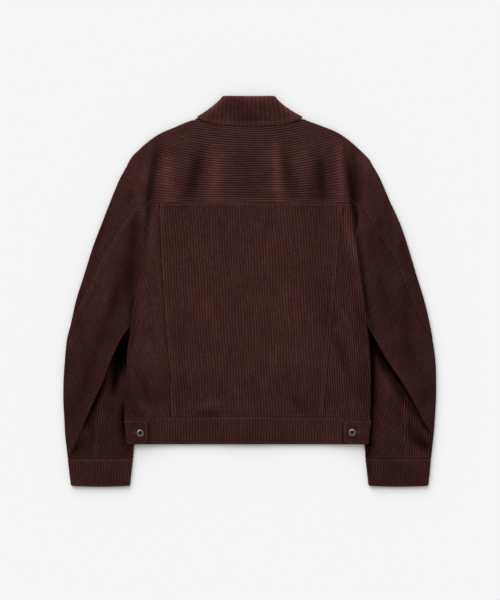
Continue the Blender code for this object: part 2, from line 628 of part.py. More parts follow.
def make_cuff(side):
    """A closed band, double, with its plain closure underneath."""
    rows = []
    for up in (CUFF_TOP, -345.0, -370.0):
        outer, inner = cuff_ring.at(side + "_outer", up), cuff_ring.at(side + "_inner", up)
        radius = CUFF_LIFT / 2
        angle = np.linspace(0, math.pi, 7)
        flat = np.linspace(0, 1, 6)[1:-1]
        out = np.concatenate([
            outer - radius + radius * np.sin(angle),
            mix(outer - radius, inner + radius, flat),
            inner + radius - radius * np.sin(angle),
            mix(inner + radius, outer - radius, flat),
        ])
        lift = np.concatenate([radius - radius * np.cos(angle), flat * 0 + CUFF_LIFT,
                               radius + radius * np.cos(angle), flat * 0])
        belly = CUFF_BELLY * (CUFF_TOP - up) / (CUFF_TOP + 370.0)
        share = (out - inner) / (outer - inner)
        rows.append(place(side, out, up - belly * 4 * share * (1 - share), lift))
    points = np.array(rows)
    cloth("cuff_" + side, points if side == "left" else points[:, ::-1], BAND_WALL, closed=True)


# The waistband, its tabs and its buttons.


def band_edge(side, up):
    """The side of the waistband, which narrows a little towards its lower edge."""
    share = (BAND_TOP - up) / (BAND_TOP - BAND_BOTTOM)
    top, bottom = (233.7, 226.5) if side == "left" else (232.2, 227.0)
    return mix(top, bottom, share)


BAND_UNDER = 7.3  # lift of the band's lower layer where it lies over the sleeve
BAND_RIM = 13.0  # lift of its upper layer there


def band_lift(side, out):
    """The upper layer's outer face."""
    middle = 6.4 + 1.6 * ease((70.0 - out) / 50.0)
    return mix(middle, BAND_RIM, ease((out - 232.0 + 100.0) / 100.0))


def band_under_lift(side, out):
    """The lower layer's outer face."""
    lap = (BAND_WALL + LAY) * (side == "right") * ease((FRONT_LAP + 24.0 - out) / 20.0)
    return lap + BAND_UNDER * ease(1.0 - (212.0 - out) / 60.0)


BAND_STEPS = (0.0, 30.0, 60.0, 132.0, 150.0, 168.0, 186.0, 204.0, 218.0)
BAND_UNDER_STEPS = (210.0, 194.0, 178.0, 150.0, 60.0, FRONT_LAP + 24.0, FRONT_LAP + 4.0, -FRONT_LAP)


def band_half(side, up):
    """From the centre of the back round one side to the front end, as (out, lift)."""
    edge = band_edge(side, up)
    radius = (BAND_RIM - BAND_UNDER) / 2
    flat = np.append(BAND_STEPS, edge - radius)
    angle = np.linspace(0, math.pi, 7)[1:]
    under = np.array(BAND_UNDER_STEPS)
    out = np.concatenate([flat, edge - radius + radius * np.sin(angle), under])
    lift = np.concatenate([
        band_lift(side, flat),
        (BAND_RIM + BAND_UNDER) / 2 + radius * np.cos(angle),
        band_under_lift(side, under),
    ])
    return out, lift


def make_waistband():
    rows = []
    for up in (BAND_TOP - SEAM, mix(BAND_TOP, BAND_BOTTOM, 0.5), BAND_BOTTOM):
        halves = []
        for side in SIGN:
            out, lift = band_half(side, up)
            halves.append(place(side, out, up, lift))
        rows.append(np.concatenate([halves[0][:0:-1], halves[1]]))
    cloth("waistband", np.array(rows), BAND_WALL)


TAB_WALL = 1.9


def make_tab(side, end_out, corner, button_out, button_up):
    """A tab is the band's own points moved out, from its free end to the middle of the side's turn."""
    rows = []
    inward = np.array([0.0, 0.4, 1.0]) * corner
    for up in np.append(TAB_TOP - inward, TAB_BOTTOM + inward[::-1]):
        rounding = max(corner - (TAB_TOP - up), corner - (up - TAB_BOTTOM), 0.0)
        start = end_out + 0.8 * (corner - math.sqrt(corner**2 - rounding**2))
        out, lift = band_half(side, up)
        last = len(BAND_STEPS) + 3
        middle = [i for i in range(last) if out[i] > end_out + corner]
        line = [[start, np.interp(start, out[:last], lift[:last])]] + [[out[i], lift[i]] for i in middle]
        line = np.array(line)
        steps = np.diff(line, axis=0)
        normals = np.stack([-steps[:, 1], steps[:, 0]], axis=1) / np.linalg.norm(steps, axis=1)[:, None]
        normals = np.concatenate([normals[:1], normals[1:] + normals[:-1], normals[-1:]])
        normals /= np.linalg.norm(normals, axis=1)[:, None]
        line = line + normals * (LAY + TAB_WALL)
        rows.append(place(side, line[:, 0], up, line[:, 1]))
    points = np.array(rows)
    tab = cloth("tab_" + side, points if side == "right" else points[:, ::-1], TAB_WALL)
    bpy.ops.mesh.primitive_cylinder_add(vertices=ROUND_STEPS, radius=SHANK_HOLE * MM, depth=30 * MM)
    cutter = bpy.context.object
    cutter.name = "hole_" + side
    cutter.location = Vector(place(side, button_out, button_up, 12.0)) * MM
    for collection in cutter.users_collection:
        collection.objects.unlink(cutter)
    cutters.objects.link(cutter)
    cutter.hide_render = True
    cutter.display_type = "WIRE"
    hole = tab.modifiers.new("Buttonhole", "BOOLEAN")
    hole.operation = "DIFFERENCE"
    hole.object = cutter


def make_button(side, end_out, corner, button_out, button_up):
    """A shank button: a turned head with a sunk middle, and the shank that passes the buttonhole. It stands square
    to the band."""
    out, lift = band_half(side, button_up)
    out, lift = out[: len(BAND_STEPS)], lift[: len(BAND_STEPS)]
    tilt = math.atan((np.interp(button_out + 8, out, lift) - np.interp(button_out - 8, out, lift)) / 16)
    foot = LAY
    seat = LAY + TAB_WALL + 0.6
    top = seat + HEAD_RISE
    profile = [
        (0.0, top - DISH_DEPTH), (DISH_RADIUS * 0.7, top - DISH_DEPTH), (DISH_RADIUS, top - 0.2),
        (DISH_RADIUS + 0.7, top), (HEAD_RADIUS - 1.6, top - 0.2), (HEAD_RADIUS - 0.4, seat + HEAD_EDGE),
        (HEAD_RADIUS, seat + HEAD_EDGE * 0.6), (HEAD_RADIUS - 0.4, seat), (SHANK_RADIUS, seat),
        (SHANK_RADIUS, foot), (0.0, foot),
    ]
    mesh = bpy.data.meshes.new("tab_button_" + side)
    edges = [(i, i + 1) for i in range(len(profile) - 1)]
    mesh.from_pydata([(x * MM, 0, z * MM) for x, z in profile], edges, [])
    mesh.materials.append(material(*METAL))
    button = bpy.data.objects.new("tab_button_" + side, mesh)
    jacket.objects.link(button)
    button.location = Vector(place(side, button_out, button_up, np.interp(button_out, out, lift) + 0.1)) * MM
    button.rotation_euler = (0.0, -SIGN[side] * tilt, 0.0)
    screw = button.modifiers.new("Turn", "SCREW")
    screw.steps = screw.render_steps = ROUND_STEPS
    screw.use_merge_vertices = True
    screw.merge_threshold = 0.00001
    screw.use_smooth_shade = True


# The collar.


def collar_frame(side, turn):
    """The collar's middle surface at one turn: its seam, fold and edge, and the way that its face looks."""
    look = math.pi * ease((turn - 0.36) / 0.28)
    base = 5.3 + 3.1 * math.cos(look)
    read = {name: float(collar_ring.at(name, turn)) for name in COLLAR_COLUMNS}
    for name, lean in COLLAR_LEAN.items():
        read[name] += lean * (side == "right") * ease((0.85 - turn) / 0.25) * ease(read[name] / 45.0)
    to_front = ease((turn - 0.49) / 0.13)
    back_gap = mix(SEAM, CURVED_SEAM, ease((turn - 0.3) / 0.1))
    at_back = neck_line(read["seam_out"]) + back_gap
    seam_up = mix(at_back, front_neck(read["seam_out"]) + 2 * CURVED_SEAM, to_front)
    seam = np.array([read["seam_out"], seam_up, base])
    fold = np.array([read["fold_out"], read["fold_up"], base])
    edge = np.array([read["edge_out"], read["edge_up"], base])
    return seam, fold, edge, np.array([math.sin(look), 0.0, math.cos(look)])


def collar_between(side, turn, fold, end, t):
    """A point on the way from the fold to another edge of the collar. Beside the neck this way is hollow."""
    point = mix(fold, end, t)
    hollow = COLLAR_HOLLOW[side] * ease((turn - 0.3) / 0.15) * ease((0.7 - turn) / 0.15)
    point[0] -= hollow * math.sin(math.pi * t)
    return point


def collar_points(side, turn):
    """Up the stand, over the fold and down the fall."""
    seam, fold, edge, look = collar_frame(side, turn)
    half = (COLLAR_WALL + LAY + 0.1) / 2
    stand = [collar_between(side, turn, fold, seam, t) - half * look for t in np.linspace(1, 0, 5)]
    rise = np.array([0.0, 1.0, 0.0])
    angles = np.linspace(0, math.pi, 5)[1:-1]
    roll = [fold + half * (-math.cos(a) * look + math.sin(a) * rise) for a in angles]
    fall = [collar_between(side, turn, fold, edge, t) + half * look for t in np.linspace(0, 1, 5)]
    points = np.array(stand + roll + fall)
    return place(side, points[:, 0], points[:, 1], points[:, 2])


def make_collar():
    turns = np.concatenate([np.linspace(0, 0.36, 4), np.linspace(0.41, 0.61, 6), np.linspace(0.66, 1, 5)])
    rows = [collar_points("left", turn) for turn in turns[:0:-1]]
    rows += [collar_points("right", turn) for turn in turns]
    cloth("collar", np.array(rows), COLLAR_WALL, offset=0.0)


for old in list(bpy.data.objects):
    bpy.data.objects.remove(old)
jacket = bpy.data.collections.new("corduroy_jacket")
cutters = bpy.data.collections.new("cutters")
for collection in (jacket, cutters):
    bpy.context.scene.collection.children.link(collection)

make_yoke()
make_back_center()
for name in ("left", "right"):
    make_back_side(name)
    make_front(name)
    make_sleeve(name)
    make_cuff(name)
make_waistband()
for row in TABS:
    make_tab(*row)
    make_button(*row)
make_collar()
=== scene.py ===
"""Looks of a corduroy trucker jacket laid flat, face down. Every piece is a thin shell on its solid's form.

Lengths in the tables are millimetres. "out" is a distance from the centre line of the body, "up" is a place
along Y, "lift" is a height above the surface that the jacket lies on. "side" is left or right, back up.
"""

import math

import bpy
import numpy as np
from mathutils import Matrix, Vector


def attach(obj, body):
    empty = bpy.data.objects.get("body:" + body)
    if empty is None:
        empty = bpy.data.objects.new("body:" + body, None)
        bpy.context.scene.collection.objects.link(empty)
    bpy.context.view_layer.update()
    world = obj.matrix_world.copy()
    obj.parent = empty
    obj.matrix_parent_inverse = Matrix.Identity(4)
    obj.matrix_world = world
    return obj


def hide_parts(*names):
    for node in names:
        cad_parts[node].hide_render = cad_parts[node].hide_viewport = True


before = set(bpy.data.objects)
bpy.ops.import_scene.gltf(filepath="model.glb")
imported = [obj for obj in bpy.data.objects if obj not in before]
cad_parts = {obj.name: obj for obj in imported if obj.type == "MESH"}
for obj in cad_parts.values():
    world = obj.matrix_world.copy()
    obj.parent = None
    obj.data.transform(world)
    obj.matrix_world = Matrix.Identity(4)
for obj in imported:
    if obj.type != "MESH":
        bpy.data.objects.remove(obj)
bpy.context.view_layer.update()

MM = 0.001

# The tables and forms that follow are those of the solids, but for CURVED_SEAM and the tabs' corners.

# Walls and clearances.
WALL = 1.5  # one layer of 8-wale corduroy
BAND_WALL = 2.4  # waistband, cuffs and tabs: folded double and pressed
COLLAR_WALL = 2.0
SEAM = 0.3  # left open between two pieces that are sewn together
CURVED_SEAM = 0.15  # left open along the armhole and the neck
LAY = 0.3  # left between a piece and the one that it lies on

# The body.
BODY_MID = -3.4  # X of the centre line: the sleeves don't lie quite alike
YOKE_SEAM = 167.0
BAND_TOP = -239.4
BAND_BOTTOM = -290.7
NECK_OUT = 99.0  # half the width of the back neck
NECK_UP = 325.0
FRONT_NECK_UP = 262.0
FRONT_LAP = 17.0  # how far each front passes the centre line
BODY_COLUMNS = ("up", "left", "right", "rim", "under", "mid")
# The side fold of the back. rim: lift of the back where it turns under. under: lift of the layer that it
# turns into. mid: lift of the middle of the back.
BODY = (
    (-239.4, 233.5, 231.3, 13.2, 7.3, 7.6),
    (-207.0, 231.8, 232.2, 13.2, 7.3, 6.8),
    (-150.0, 229.9, 232.2, 13.4, 7.9, 6.5),
    (-112.0, 228.0, 230.2, 13.8, 9.0, 6.5),
    (-74.0, 222.3, 226.5, 14.2, 10.0, 6.5),
    (-36.0, 218.0, 222.0, 13.8, 9.6, 6.6),
    (2.0, 210.9, 217.6, 12.6, 7.6, 6.8),
    (40.0, 205.2, 211.9, 11.4, 6.2, 7.0),
    (78.0, 200.6, 206.2, 10.8, 5.4, 7.0),
    (116.0, 194.4, 200.5, 10.4, 5.1, 7.1),
    (144.0, 190.4, 195.7, 10.2, 5.1, 7.2),
    (167.0, 189.0, 191.9, 10.0, 5.1, 7.3),
    (201.0, 186.2, 188.1, 9.8, 5.1, 7.6),
    (239.0, 180.5, 180.5, 9.4, 5.1, 8.0),
    (277.0, 172.9, 174.8, 9.0, 5.1, 8.2),
    (325.0, 165.0, 168.0, 8.6, 5.1, 8.2),
)
RIM_REACH = 95.0  # how far inward the back rises towards its side fold
VSEAM_COLUMNS = ("up", "left", "right")
VSEAM = (
    (-239.4, 146.5, 142.5),
    (-150.0, 148.0, 150.0),
    (-74.0, 156.0, 158.0),
    (0.0, 159.9, 165.6),
    (40.0, 163.0, 168.4),
    (80.0, 164.6, 170.9),
    (120.0, 165.7, 175.3),
    (166.7, 167.2, 182.4),
)
SHOULDER_COLUMNS = ("out", "left", "right")
# The fold of the shoulder, from the neck to the tip of the shoulder.
SHOULDER = (
    (99.0, 326.5, 328.5),
    (118.0, 319.6, 321.0),
    (140.0, 310.3, 313.0),
    (171.0, 296.2, 299.8),
    (190.0, 283.0, 287.2),
    (208.0, 267.0, 271.8),
    (223.0, 250.6, 257.2),
    (230.9, 235.6, 248.4),
    (233.7, 229.6, 243.2),
)
ARMHOLE_COLUMNS = ("way", "left_out", "left_up", "right_out", "right_up")
# The armhole from the tip of the shoulder to the armpit. way: the share of the armhole that is passed.
ARMHOLE = (
    (0.0, 230.9, 235.6, 233.7, 243.2),
    (0.1, 222.3, 214.7, 224.2, 214.7),
    (0.2, 212.8, 191.9, 218.5, 182.4),
    (0.32, 207.0, 163.4, 215.6, 155.8),
    (0.38, 202.0, 148.2, 210.0, 144.0),
    (0.45, 199.5, 133.0, 208.5, 128.0),
    (0.55, 193.0, 107.0, 201.0, 103.0),
    (0.78, 177.6, 55.1, 189.5, 55.1),
    (1.0, 181.5, 5.7, 187.0, 5.7),
)
YOKE_LINE_COLUMNS = ("out", "left", "right")
# The seam under the yoke: level across the back, then down to the armhole over the side fold.
YOKE_LINE = (
    (0.0, 167.0, 167.0),
    (156.0, 167.0, 167.0),
    (166.0, 167.0, 167.0),
    (182.4, 165.0, 167.0),
    (191.9, 155.8, 166.6),
    (201.4, 148.4, 162.2),
    (213.0, 146.0, 151.4),
)
YOKE_END = {"left": 0.38, "right": 0.343}  # the share of the armhole at which the yoke ends
SIDE_SEAM_COLUMNS = ("up", "left", "right", "lift")
# Where the back's side panel ends under the side fold. lift: of the seam's outer face.
SIDE_SEAM = (
    (-239.4, 214.7, 214.0, 7.3),
    (-188.0, 210.5, 213.0, 7.3),
    (-131.0, 201.0, 207.0, 7.0),
    (-84.0, 190.0, 197.0, 5.4),
    (-46.0, 182.5, 190.0, 4.8),
    (-17.0, 179.0, 186.0, 4.7),
    (5.7, 181.2, 186.7, 4.7),
)

# The sleeves: a row is a section across the sleeve, from its outer edge to its inner edge.
# bow: the share of the armhole's own curve that the section keeps. seam_at: the back seam, as a share of the
# way across; below 0 it lies under the outer edge. fold_at: the elbow fold. tuck: how far the cloth goes back
# under that fold. step: from 0, where the fold is only a soft step, to 1, where it is closed. inner_at: the
# inner seam; 1 is the inner edge. The rest are lifts.
SLEEVE_COLUMNS = (
    "row", "outer_out", "outer_up", "inner_out", "inner_up", "bow", "seam_at", "fold_at", "tuck", "step",
    "inner_at", "outer_lift", "mid_lift", "fold_lift", "inner_lift",
)
LEFT_SLEEVE = (
    (0, 230.9, 235.6, 181.5, 5.7, 1.0, 0.33, 0.70, 0, 0, 1.0, 6.0, 4.7, 4.2, 4.2),
    (1, 245.3, 209.0, 184.0, -4.0, 0.6, 0.32, 0.70, 0, 0, 1.0, 7.0, 6.0, 4.2, 4.2),
    (2, 262.4, 167.2, 187.0, -13.0, 0.3, 0.28, 0.72, 0, 0, 1.0, 7.5, 6.4, 4.3, 4.2),
    (3, 279.4, 123.5, 190.8, -25.0, 0.1, 0.25, 0.76, 0, 0, 1.0, 8.0, 6.6, 4.8, 4.4),
    (4, 295.1, 81.7, 195.5, -38.0, 0, 0.215, 0.80, 0, 0, 1.0, 8.0, 6.8, 5.6, 4.8),
    (5, 310.6, 32.3, 201.5, -51.3, 0, 0.178, 0.86, 0, 0.1, 1.0, 8.0, 7.0, 7.0, 5.2),
    (6, 326.2, -17.1, 206.1, -66.5, 0, 0.11, 0.905, 3, 0.6, 1.0, 8.0, 7.2, 8.6, 5.6),
    (7, 336.3, -62.7, 210.0, -87.4, 0, 0.01, 0.797, 12, 1, 0.9, 8.0, 7.4, 9.3, 6.0),
    (8, 343.9, -93.1, 211.9, -108.3, 0, -0.05, 0.728, 18, 1, 0.748, 8.0, 7.4, 9.3, 6.3),
    (9, 347.7, -131.1, 212.2, -134.9, 0, -0.08, 0.64, 20, 1, 0.617, 8.0, 7.4, 9.3, 6.5),
    (10, 350.2, -169.1, 212.6, -169.1, 0, -0.1, 0.552, 18, 1, 0.575, 8.0, 7.4, 9.3, 6.5),
    (11, 350.6, -207.1, 212.6, -207.1, 0, -0.1, 0.429, 15, 1, 0.545, 8.0, 7.6, 9.3, 6.5),
    (12, 348.7, -245.1, 213.2, -245.1, 0, -0.1, 0.30, 10, 0.95, 0.497, 8.0, 8.0, 9.0, 6.5),
    (13, 347.0, -275.5, 214.7, -277.4, 0, -0.1, 0.20, 3, 0.3, 0.465, 7.6, 7.6, 7.8, 6.5),
    (14, 342.0, -318.0, 218.5, -318.4, 0, -0.1, 0.03, 0, 0, 0.446, 7.0, 7.0, 7.0, 6.5),
)
RIGHT_SLEEVE = (
    (0, 233.7, 243.2, 187.0, 5.7, 1.0, 0.31, 0.70, 0, 0, 1.0, 6.0, 4.7, 4.2, 4.2),
    (1, 250.1, 214.7, 189.0, -4.0, 0.6, 0.315, 0.70, 0, 0, 1.0, 7.0, 6.0, 4.2, 4.2),
    (2, 269.5, 170.0, 191.5, -13.0, 0.3, 0.298, 0.72, 0, 0, 1.0, 7.5, 6.4, 4.3, 4.2),
    (3, 289.0, 127.3, 195.0, -25.0, 0.1, 0.27, 0.76, 0, 0, 1.0, 8.0, 6.6, 4.8, 4.4),
    (4, 305.1, 79.8, 199.5, -38.0, 0, 0.22, 0.80, 0, 0, 1.0, 8.0, 6.8, 5.6, 4.8),
    (5, 319.2, 32.3, 205.2, -51.3, 0, 0.20, 0.86, 0, 0.1, 1.0, 8.0, 7.0, 7.0, 5.2),
    (6, 334.0, -15.2, 210.0, -66.5, 0, 0.17, 0.885, 4, 0.6, 1.0, 8.0, 7.2, 8.6, 5.6),
    (7, 344.9, -60.8, 213.8, -87.4, 0, 0.09, 0.833, 12, 1, 0.92, 8.0, 7.4, 9.3, 6.0),
    (8, 350.6, -93.1, 215.7, -108.3, 0, 0.0, 0.752, 18, 1, 0.78, 8.0, 7.4, 9.3, 6.3),
    (9, 355.7, -131.1, 217.6, -134.9, 0, -0.06, 0.652, 20, 1, 0.62, 8.0, 7.4, 9.3, 6.5),
    (10, 357.2, -169.1, 218.5, -169.1, 0, -0.09, 0.481, 20, 1, 0.45, 8.0, 7.4, 9.3, 6.5),
    (11, 356.8, -207.1, 218.9, -207.1, 0, -0.1, 0.315, 16, 1, 0.45, 8.0, 7.8, 9.3, 6.5),
    (12, 354.6, -245.1, 219.5, -245.1, 0, -0.1, 0.17, 8, 0.9, 0.444, 8.0, 8.2, 9.0, 6.5),
    (13, 352.2, -275.5, 220.4, -277.4, 0, -0.1, 0.03, 0, 0.2, 0.438, 7.6, 7.6, 7.6, 6.5),
    (14, 347.3, -317.8, 223.3, -318.2, 0, -0.1, 0.03, 0, 0, 0.405, 7.0, 7.0, 7.0, 6.5),
)
COLLAR_COLUMNS = ("turn", "fold_out", "fold_up", "edge_out", "edge_up", "seam_out")
# The collar round the neck. turn: 0 at the middle of the back, 0.5 at the side of the neck, 1 in front.
COLLAR = (
    (0.0, 0.0, 367.6, 0.0, 314.0, 0.0),
    (0.15, 22.0, 367.8, 33.0, 314.4, 28.0),
    (0.30, 39.0, 368.0, 63.0, 316.8, 54.0),
    (0.42, 47.0, 367.2, 85.0, 323.4, 74.0),
    (0.50, 49.0, 364.8, 94.5, 330.0, 84.0),
    (0.58, 47.5, 360.0, 93.0, 326.0, 80.0),
    (0.70, 38.0, 345.0, 88.0, 300.0, 64.0),
    (0.85, 20.0, 318.0, 74.0, 262.0, 34.0),
    (1.0, 3.0, 291.0, 52.0, 232.0, 3.0),
)
COLLAR_LEAN = {"fold_out": 3.0, "edge_out": 7.0}  # how much further out the collar's right side lies
COLLAR_HOLLOW = {"left": 3.3, "right": 5.2}  # how far its slope beside the neck curves inward

# Shapes that several pieces share.
SHOULDER_ROLL = 4.0  # horizontal radius of the fold over the shoulder
SHOULDER_RETURN = 6.0  # how far the yoke goes on under that fold
FLAP_LIFT = 6.0  # the yoke outside its fold, where it meets the sleeve
FOLD_ROLL = 2.0  # outer radius of the elbow fold
TUCK_ROLL = 0.9  # radius where the cloth under that fold turns back again
FOLD_OPENING = 8.0  # length of the step that the fold closes into where it fades out
CUFF_TOP = -318.6
CUFF_BOTTOM = -370.0
CUFF_COLUMNS = ("up", "left_outer", "left_inner", "right_outer", "right_inner")
CUFF = (
    (CUFF_BOTTOM, 336.0, 224.0, 342.3, 229.0),
    (-345.0, 339.2, 221.5, 345.0, 226.2),
    (CUFF_TOP, 342.0, 218.5, 347.3, 223.3),
)
CUFF_LIFT = 7.0
CUFF_CORNER = 3.5  # radius of the pressed corners
CUFF_BELLY = 1.4  # how far the cuff's lower edge bows down in the middle

# The tabs on the waistband, and their shank buttons.
TAB_TOP = -245.5
TAB_BOTTOM = -289.0
TAB_WALL = 1.9
# Each row is side, end_out of its free end, radius of its corners, button_out, button_up.
TABS = (
    ("left", 190.0, 11.0, 204.3, -268.9),
    ("right", 182.4, 9.0, 197.6, -267.9),
)
HEAD_RADIUS = 7.1
HEAD_RISE = 2.6
DISH_RADIUS = 3.4  # the sunk middle of the head
DISH_DEPTH = 0.9
SHANK_RADIUS = 2.8

SIGN = {"left": -1.0, "right": 1.0}


class Table:
    """Rows with named columns, read anywhere along the first column on a smooth curve through the rows."""

    def __init__(self, names, rows):
        self.data = dict(zip(names, np.array(sorted(rows), float).T))
        self.key = self.data[names[0]]

    def at(self, name, place):
        values = self.data[name]
        slopes = np.gradient(values, self.key)
        place = np.clip(np.asarray(place, float), self.key[0], self.key[-1])
        row = np.clip(np.searchsorted(self.key, place, side="right") - 1, 0, len(self.key) - 2)
        gap = self.key[row + 1] - self.key[row]
        t = (place - self.key[row]) / gap
        start = (1 + 2 * t) * (1 - t) ** 2 * values[row] + t * (1 - t) ** 2 * gap * slopes[row]
        end = t**2 * (3 - 2 * t) * values[row + 1] + t**2 * (t - 1) * gap * slopes[row + 1]
        return start + end


body = Table(BODY_COLUMNS, BODY)
vseam = Table(VSEAM_COLUMNS, VSEAM)
shoulder = Table(SHOULDER_COLUMNS, SHOULDER)
armhole = Table(ARMHOLE_COLUMNS, ARMHOLE)
yoke_seam = Table(YOKE_LINE_COLUMNS, YOKE_LINE)
side_seam = Table(SIDE_SEAM_COLUMNS, SIDE_SEAM)
sleeves = {"left": Table(SLEEVE_COLUMNS, LEFT_SLEEVE), "right": Table(SLEEVE_COLUMNS, RIGHT_SLEEVE)}
collar_ring = Table(COLLAR_COLUMNS, COLLAR)
cuff_ring = Table(CUFF_COLUMNS, CUFF)


def ease(t):
    """0 up to t = 0, 1 from t = 1 on, and a soft S between."""
    t = np.clip(t, 0.0, 1.0)
    return t * t * (3 - 2 * t)


def mix(a, b, t):
    return a + (b - a) * t


def place(side, out, up, lift):
    """Points in the object's frame, from their distances to the body's centre line."""
    out, up, lift = np.broadcast_arrays(*(np.asarray(v, float) for v in (out, up, lift)))
    return np.stack([BODY_MID + SIGN[side] * out, up, lift], axis=-1)


# Heights of the layers.


def back_lift(side, out, up):
    """The back's outer face: low in the middle, rising towards the side fold that lies over the sleeve."""
    rim, mid = body.at("rim", up), body.at("mid", up)
    return mix(mid, rim, ease((out - body.at(side, up) + RIM_REACH) / RIM_REACH))


def yoke_lift(side, out, up):
    """As the back, and outside the fold down to where the sleeve is sewn on."""
    inside = back_lift(side, np.minimum(out, body.at(side, up)), up)
    width = 9.0 + 25.0 * ease((up - 200.0) / 80.0)
    return mix(inside, FLAP_LIFT, ease((out - body.at(side, up)) / width))


def armhole_out(side, up):
    """The armhole's distance from the centre line at a height on it."""
    ways = np.linspace(0, 1, 101)
    ups = armhole.at(side + "_up", ways)
    return armhole.at(side + "_out", np.interp(up, ups[::-1], ways[::-1]))


ARMPIT_UP = 5.7


def front_edge(side, up):
    """The front's outer boundary: the armhole, and the side seam below the armpit."""
    return np.where(np.asarray(up) > ARMPIT_UP, armhole_out(side, up), side_seam.at(side, up))


def seam_lift(up):
    """The side seam's outer face, and above the armpit the end of the layer under the side fold."""
    higher = mix(side_seam.at("lift", ARMPIT_UP), body.at("under", up), ease((up - ARMPIT_UP) / 40.0))
    return np.where(np.asarray(up) > ARMPIT_UP, higher, side_seam.at("lift", up))


def front_lift(side, out, up):
    """The front's outer face, on the surface except over the collar, the other front and the sleeve."""
    over_collar = (COLLAR_WALL + LAY) * ease((up - 195.0) / 30.0) * ease((135.0 - out) / 25.0)
    over_lap = (WALL + LAY + 0.1) * (side == "right") * ease((FRONT_LAP + 24.0 - out) / 20.0)
    rise = ease(1.0 - (front_edge(side, up) - out) / 45.0)
    at_edge = side_seam.at("lift", np.minimum(up, ARMPIT_UP)) * ease(1.0 - (up - ARMPIT_UP) / 30.0)
    return over_collar + over_lap + rise * at_edge


def neck_line(out):
    """The back neck's seam."""
    return NECK_UP - 2.6 * ease((out - 60.0) / 30.0)


def yoke_top(side, out):
    """The yoke's top: the neck's seam, the corner inside the collar's side, and the shoulder."""
    at_neck = neck_line(out) + 5.5 * ease((out - 79.0) / 8.0)
    return np.where(out <= NECK_OUT, at_neck, shoulder.at(side, out))


YOKE_FOLD = 0.92  # the share of the yoke's width that lies inside its side fold


def yoke_column(side, share):
    """A line down the yoke, from the shoulder to the yoke seam: the length passed, and (out, up) there."""
    down = np.linspace(0, 1, 41)
    ways = YOKE_END[side] * down
    bound = np.stack([armhole.at(side + "_out", ways) - CURVED_SEAM, armhole.at(side + "_up", ways)])
    tip, end = bound[0, 0], bound[0, -1]
    top = np.array([share * tip, yoke_top(side, share * tip)])
    fold = body.at(side, 160.0) - 0.8
    inside, outside = share / YOKE_FOLD, (share - YOKE_FOLD) / (1 - YOKE_FOLD)
    bottom_out = inside * fold if share <= YOKE_FOLD else mix(fold, end, outside)
    bottom = np.array([bottom_out, yoke_seam.at(side, bottom_out)])
    line = mix(top[:, None], bottom[:, None], down)
    bend = bound - mix(bound[:, :1], bound[:, -1:], down)
    line = line + bend * share**4
    length = np.concatenate([[0], np.cumsum(np.hypot(*np.diff(line, axis=1)))])
    return length, line


def sleeve_inner(side, up):
    """The sleeve's inner edge, which lies under the body."""
    table = sleeves[side]
    return np.interp(up, table.data["inner_up"][::-1], table.data["inner_out"][::-1])


def front_neck(out):
    """The front neck's seam."""
    return FRONT_NECK_UP + 56.0 * (np.clip(out, 0, NECK_OUT) / NECK_OUT) ** 2


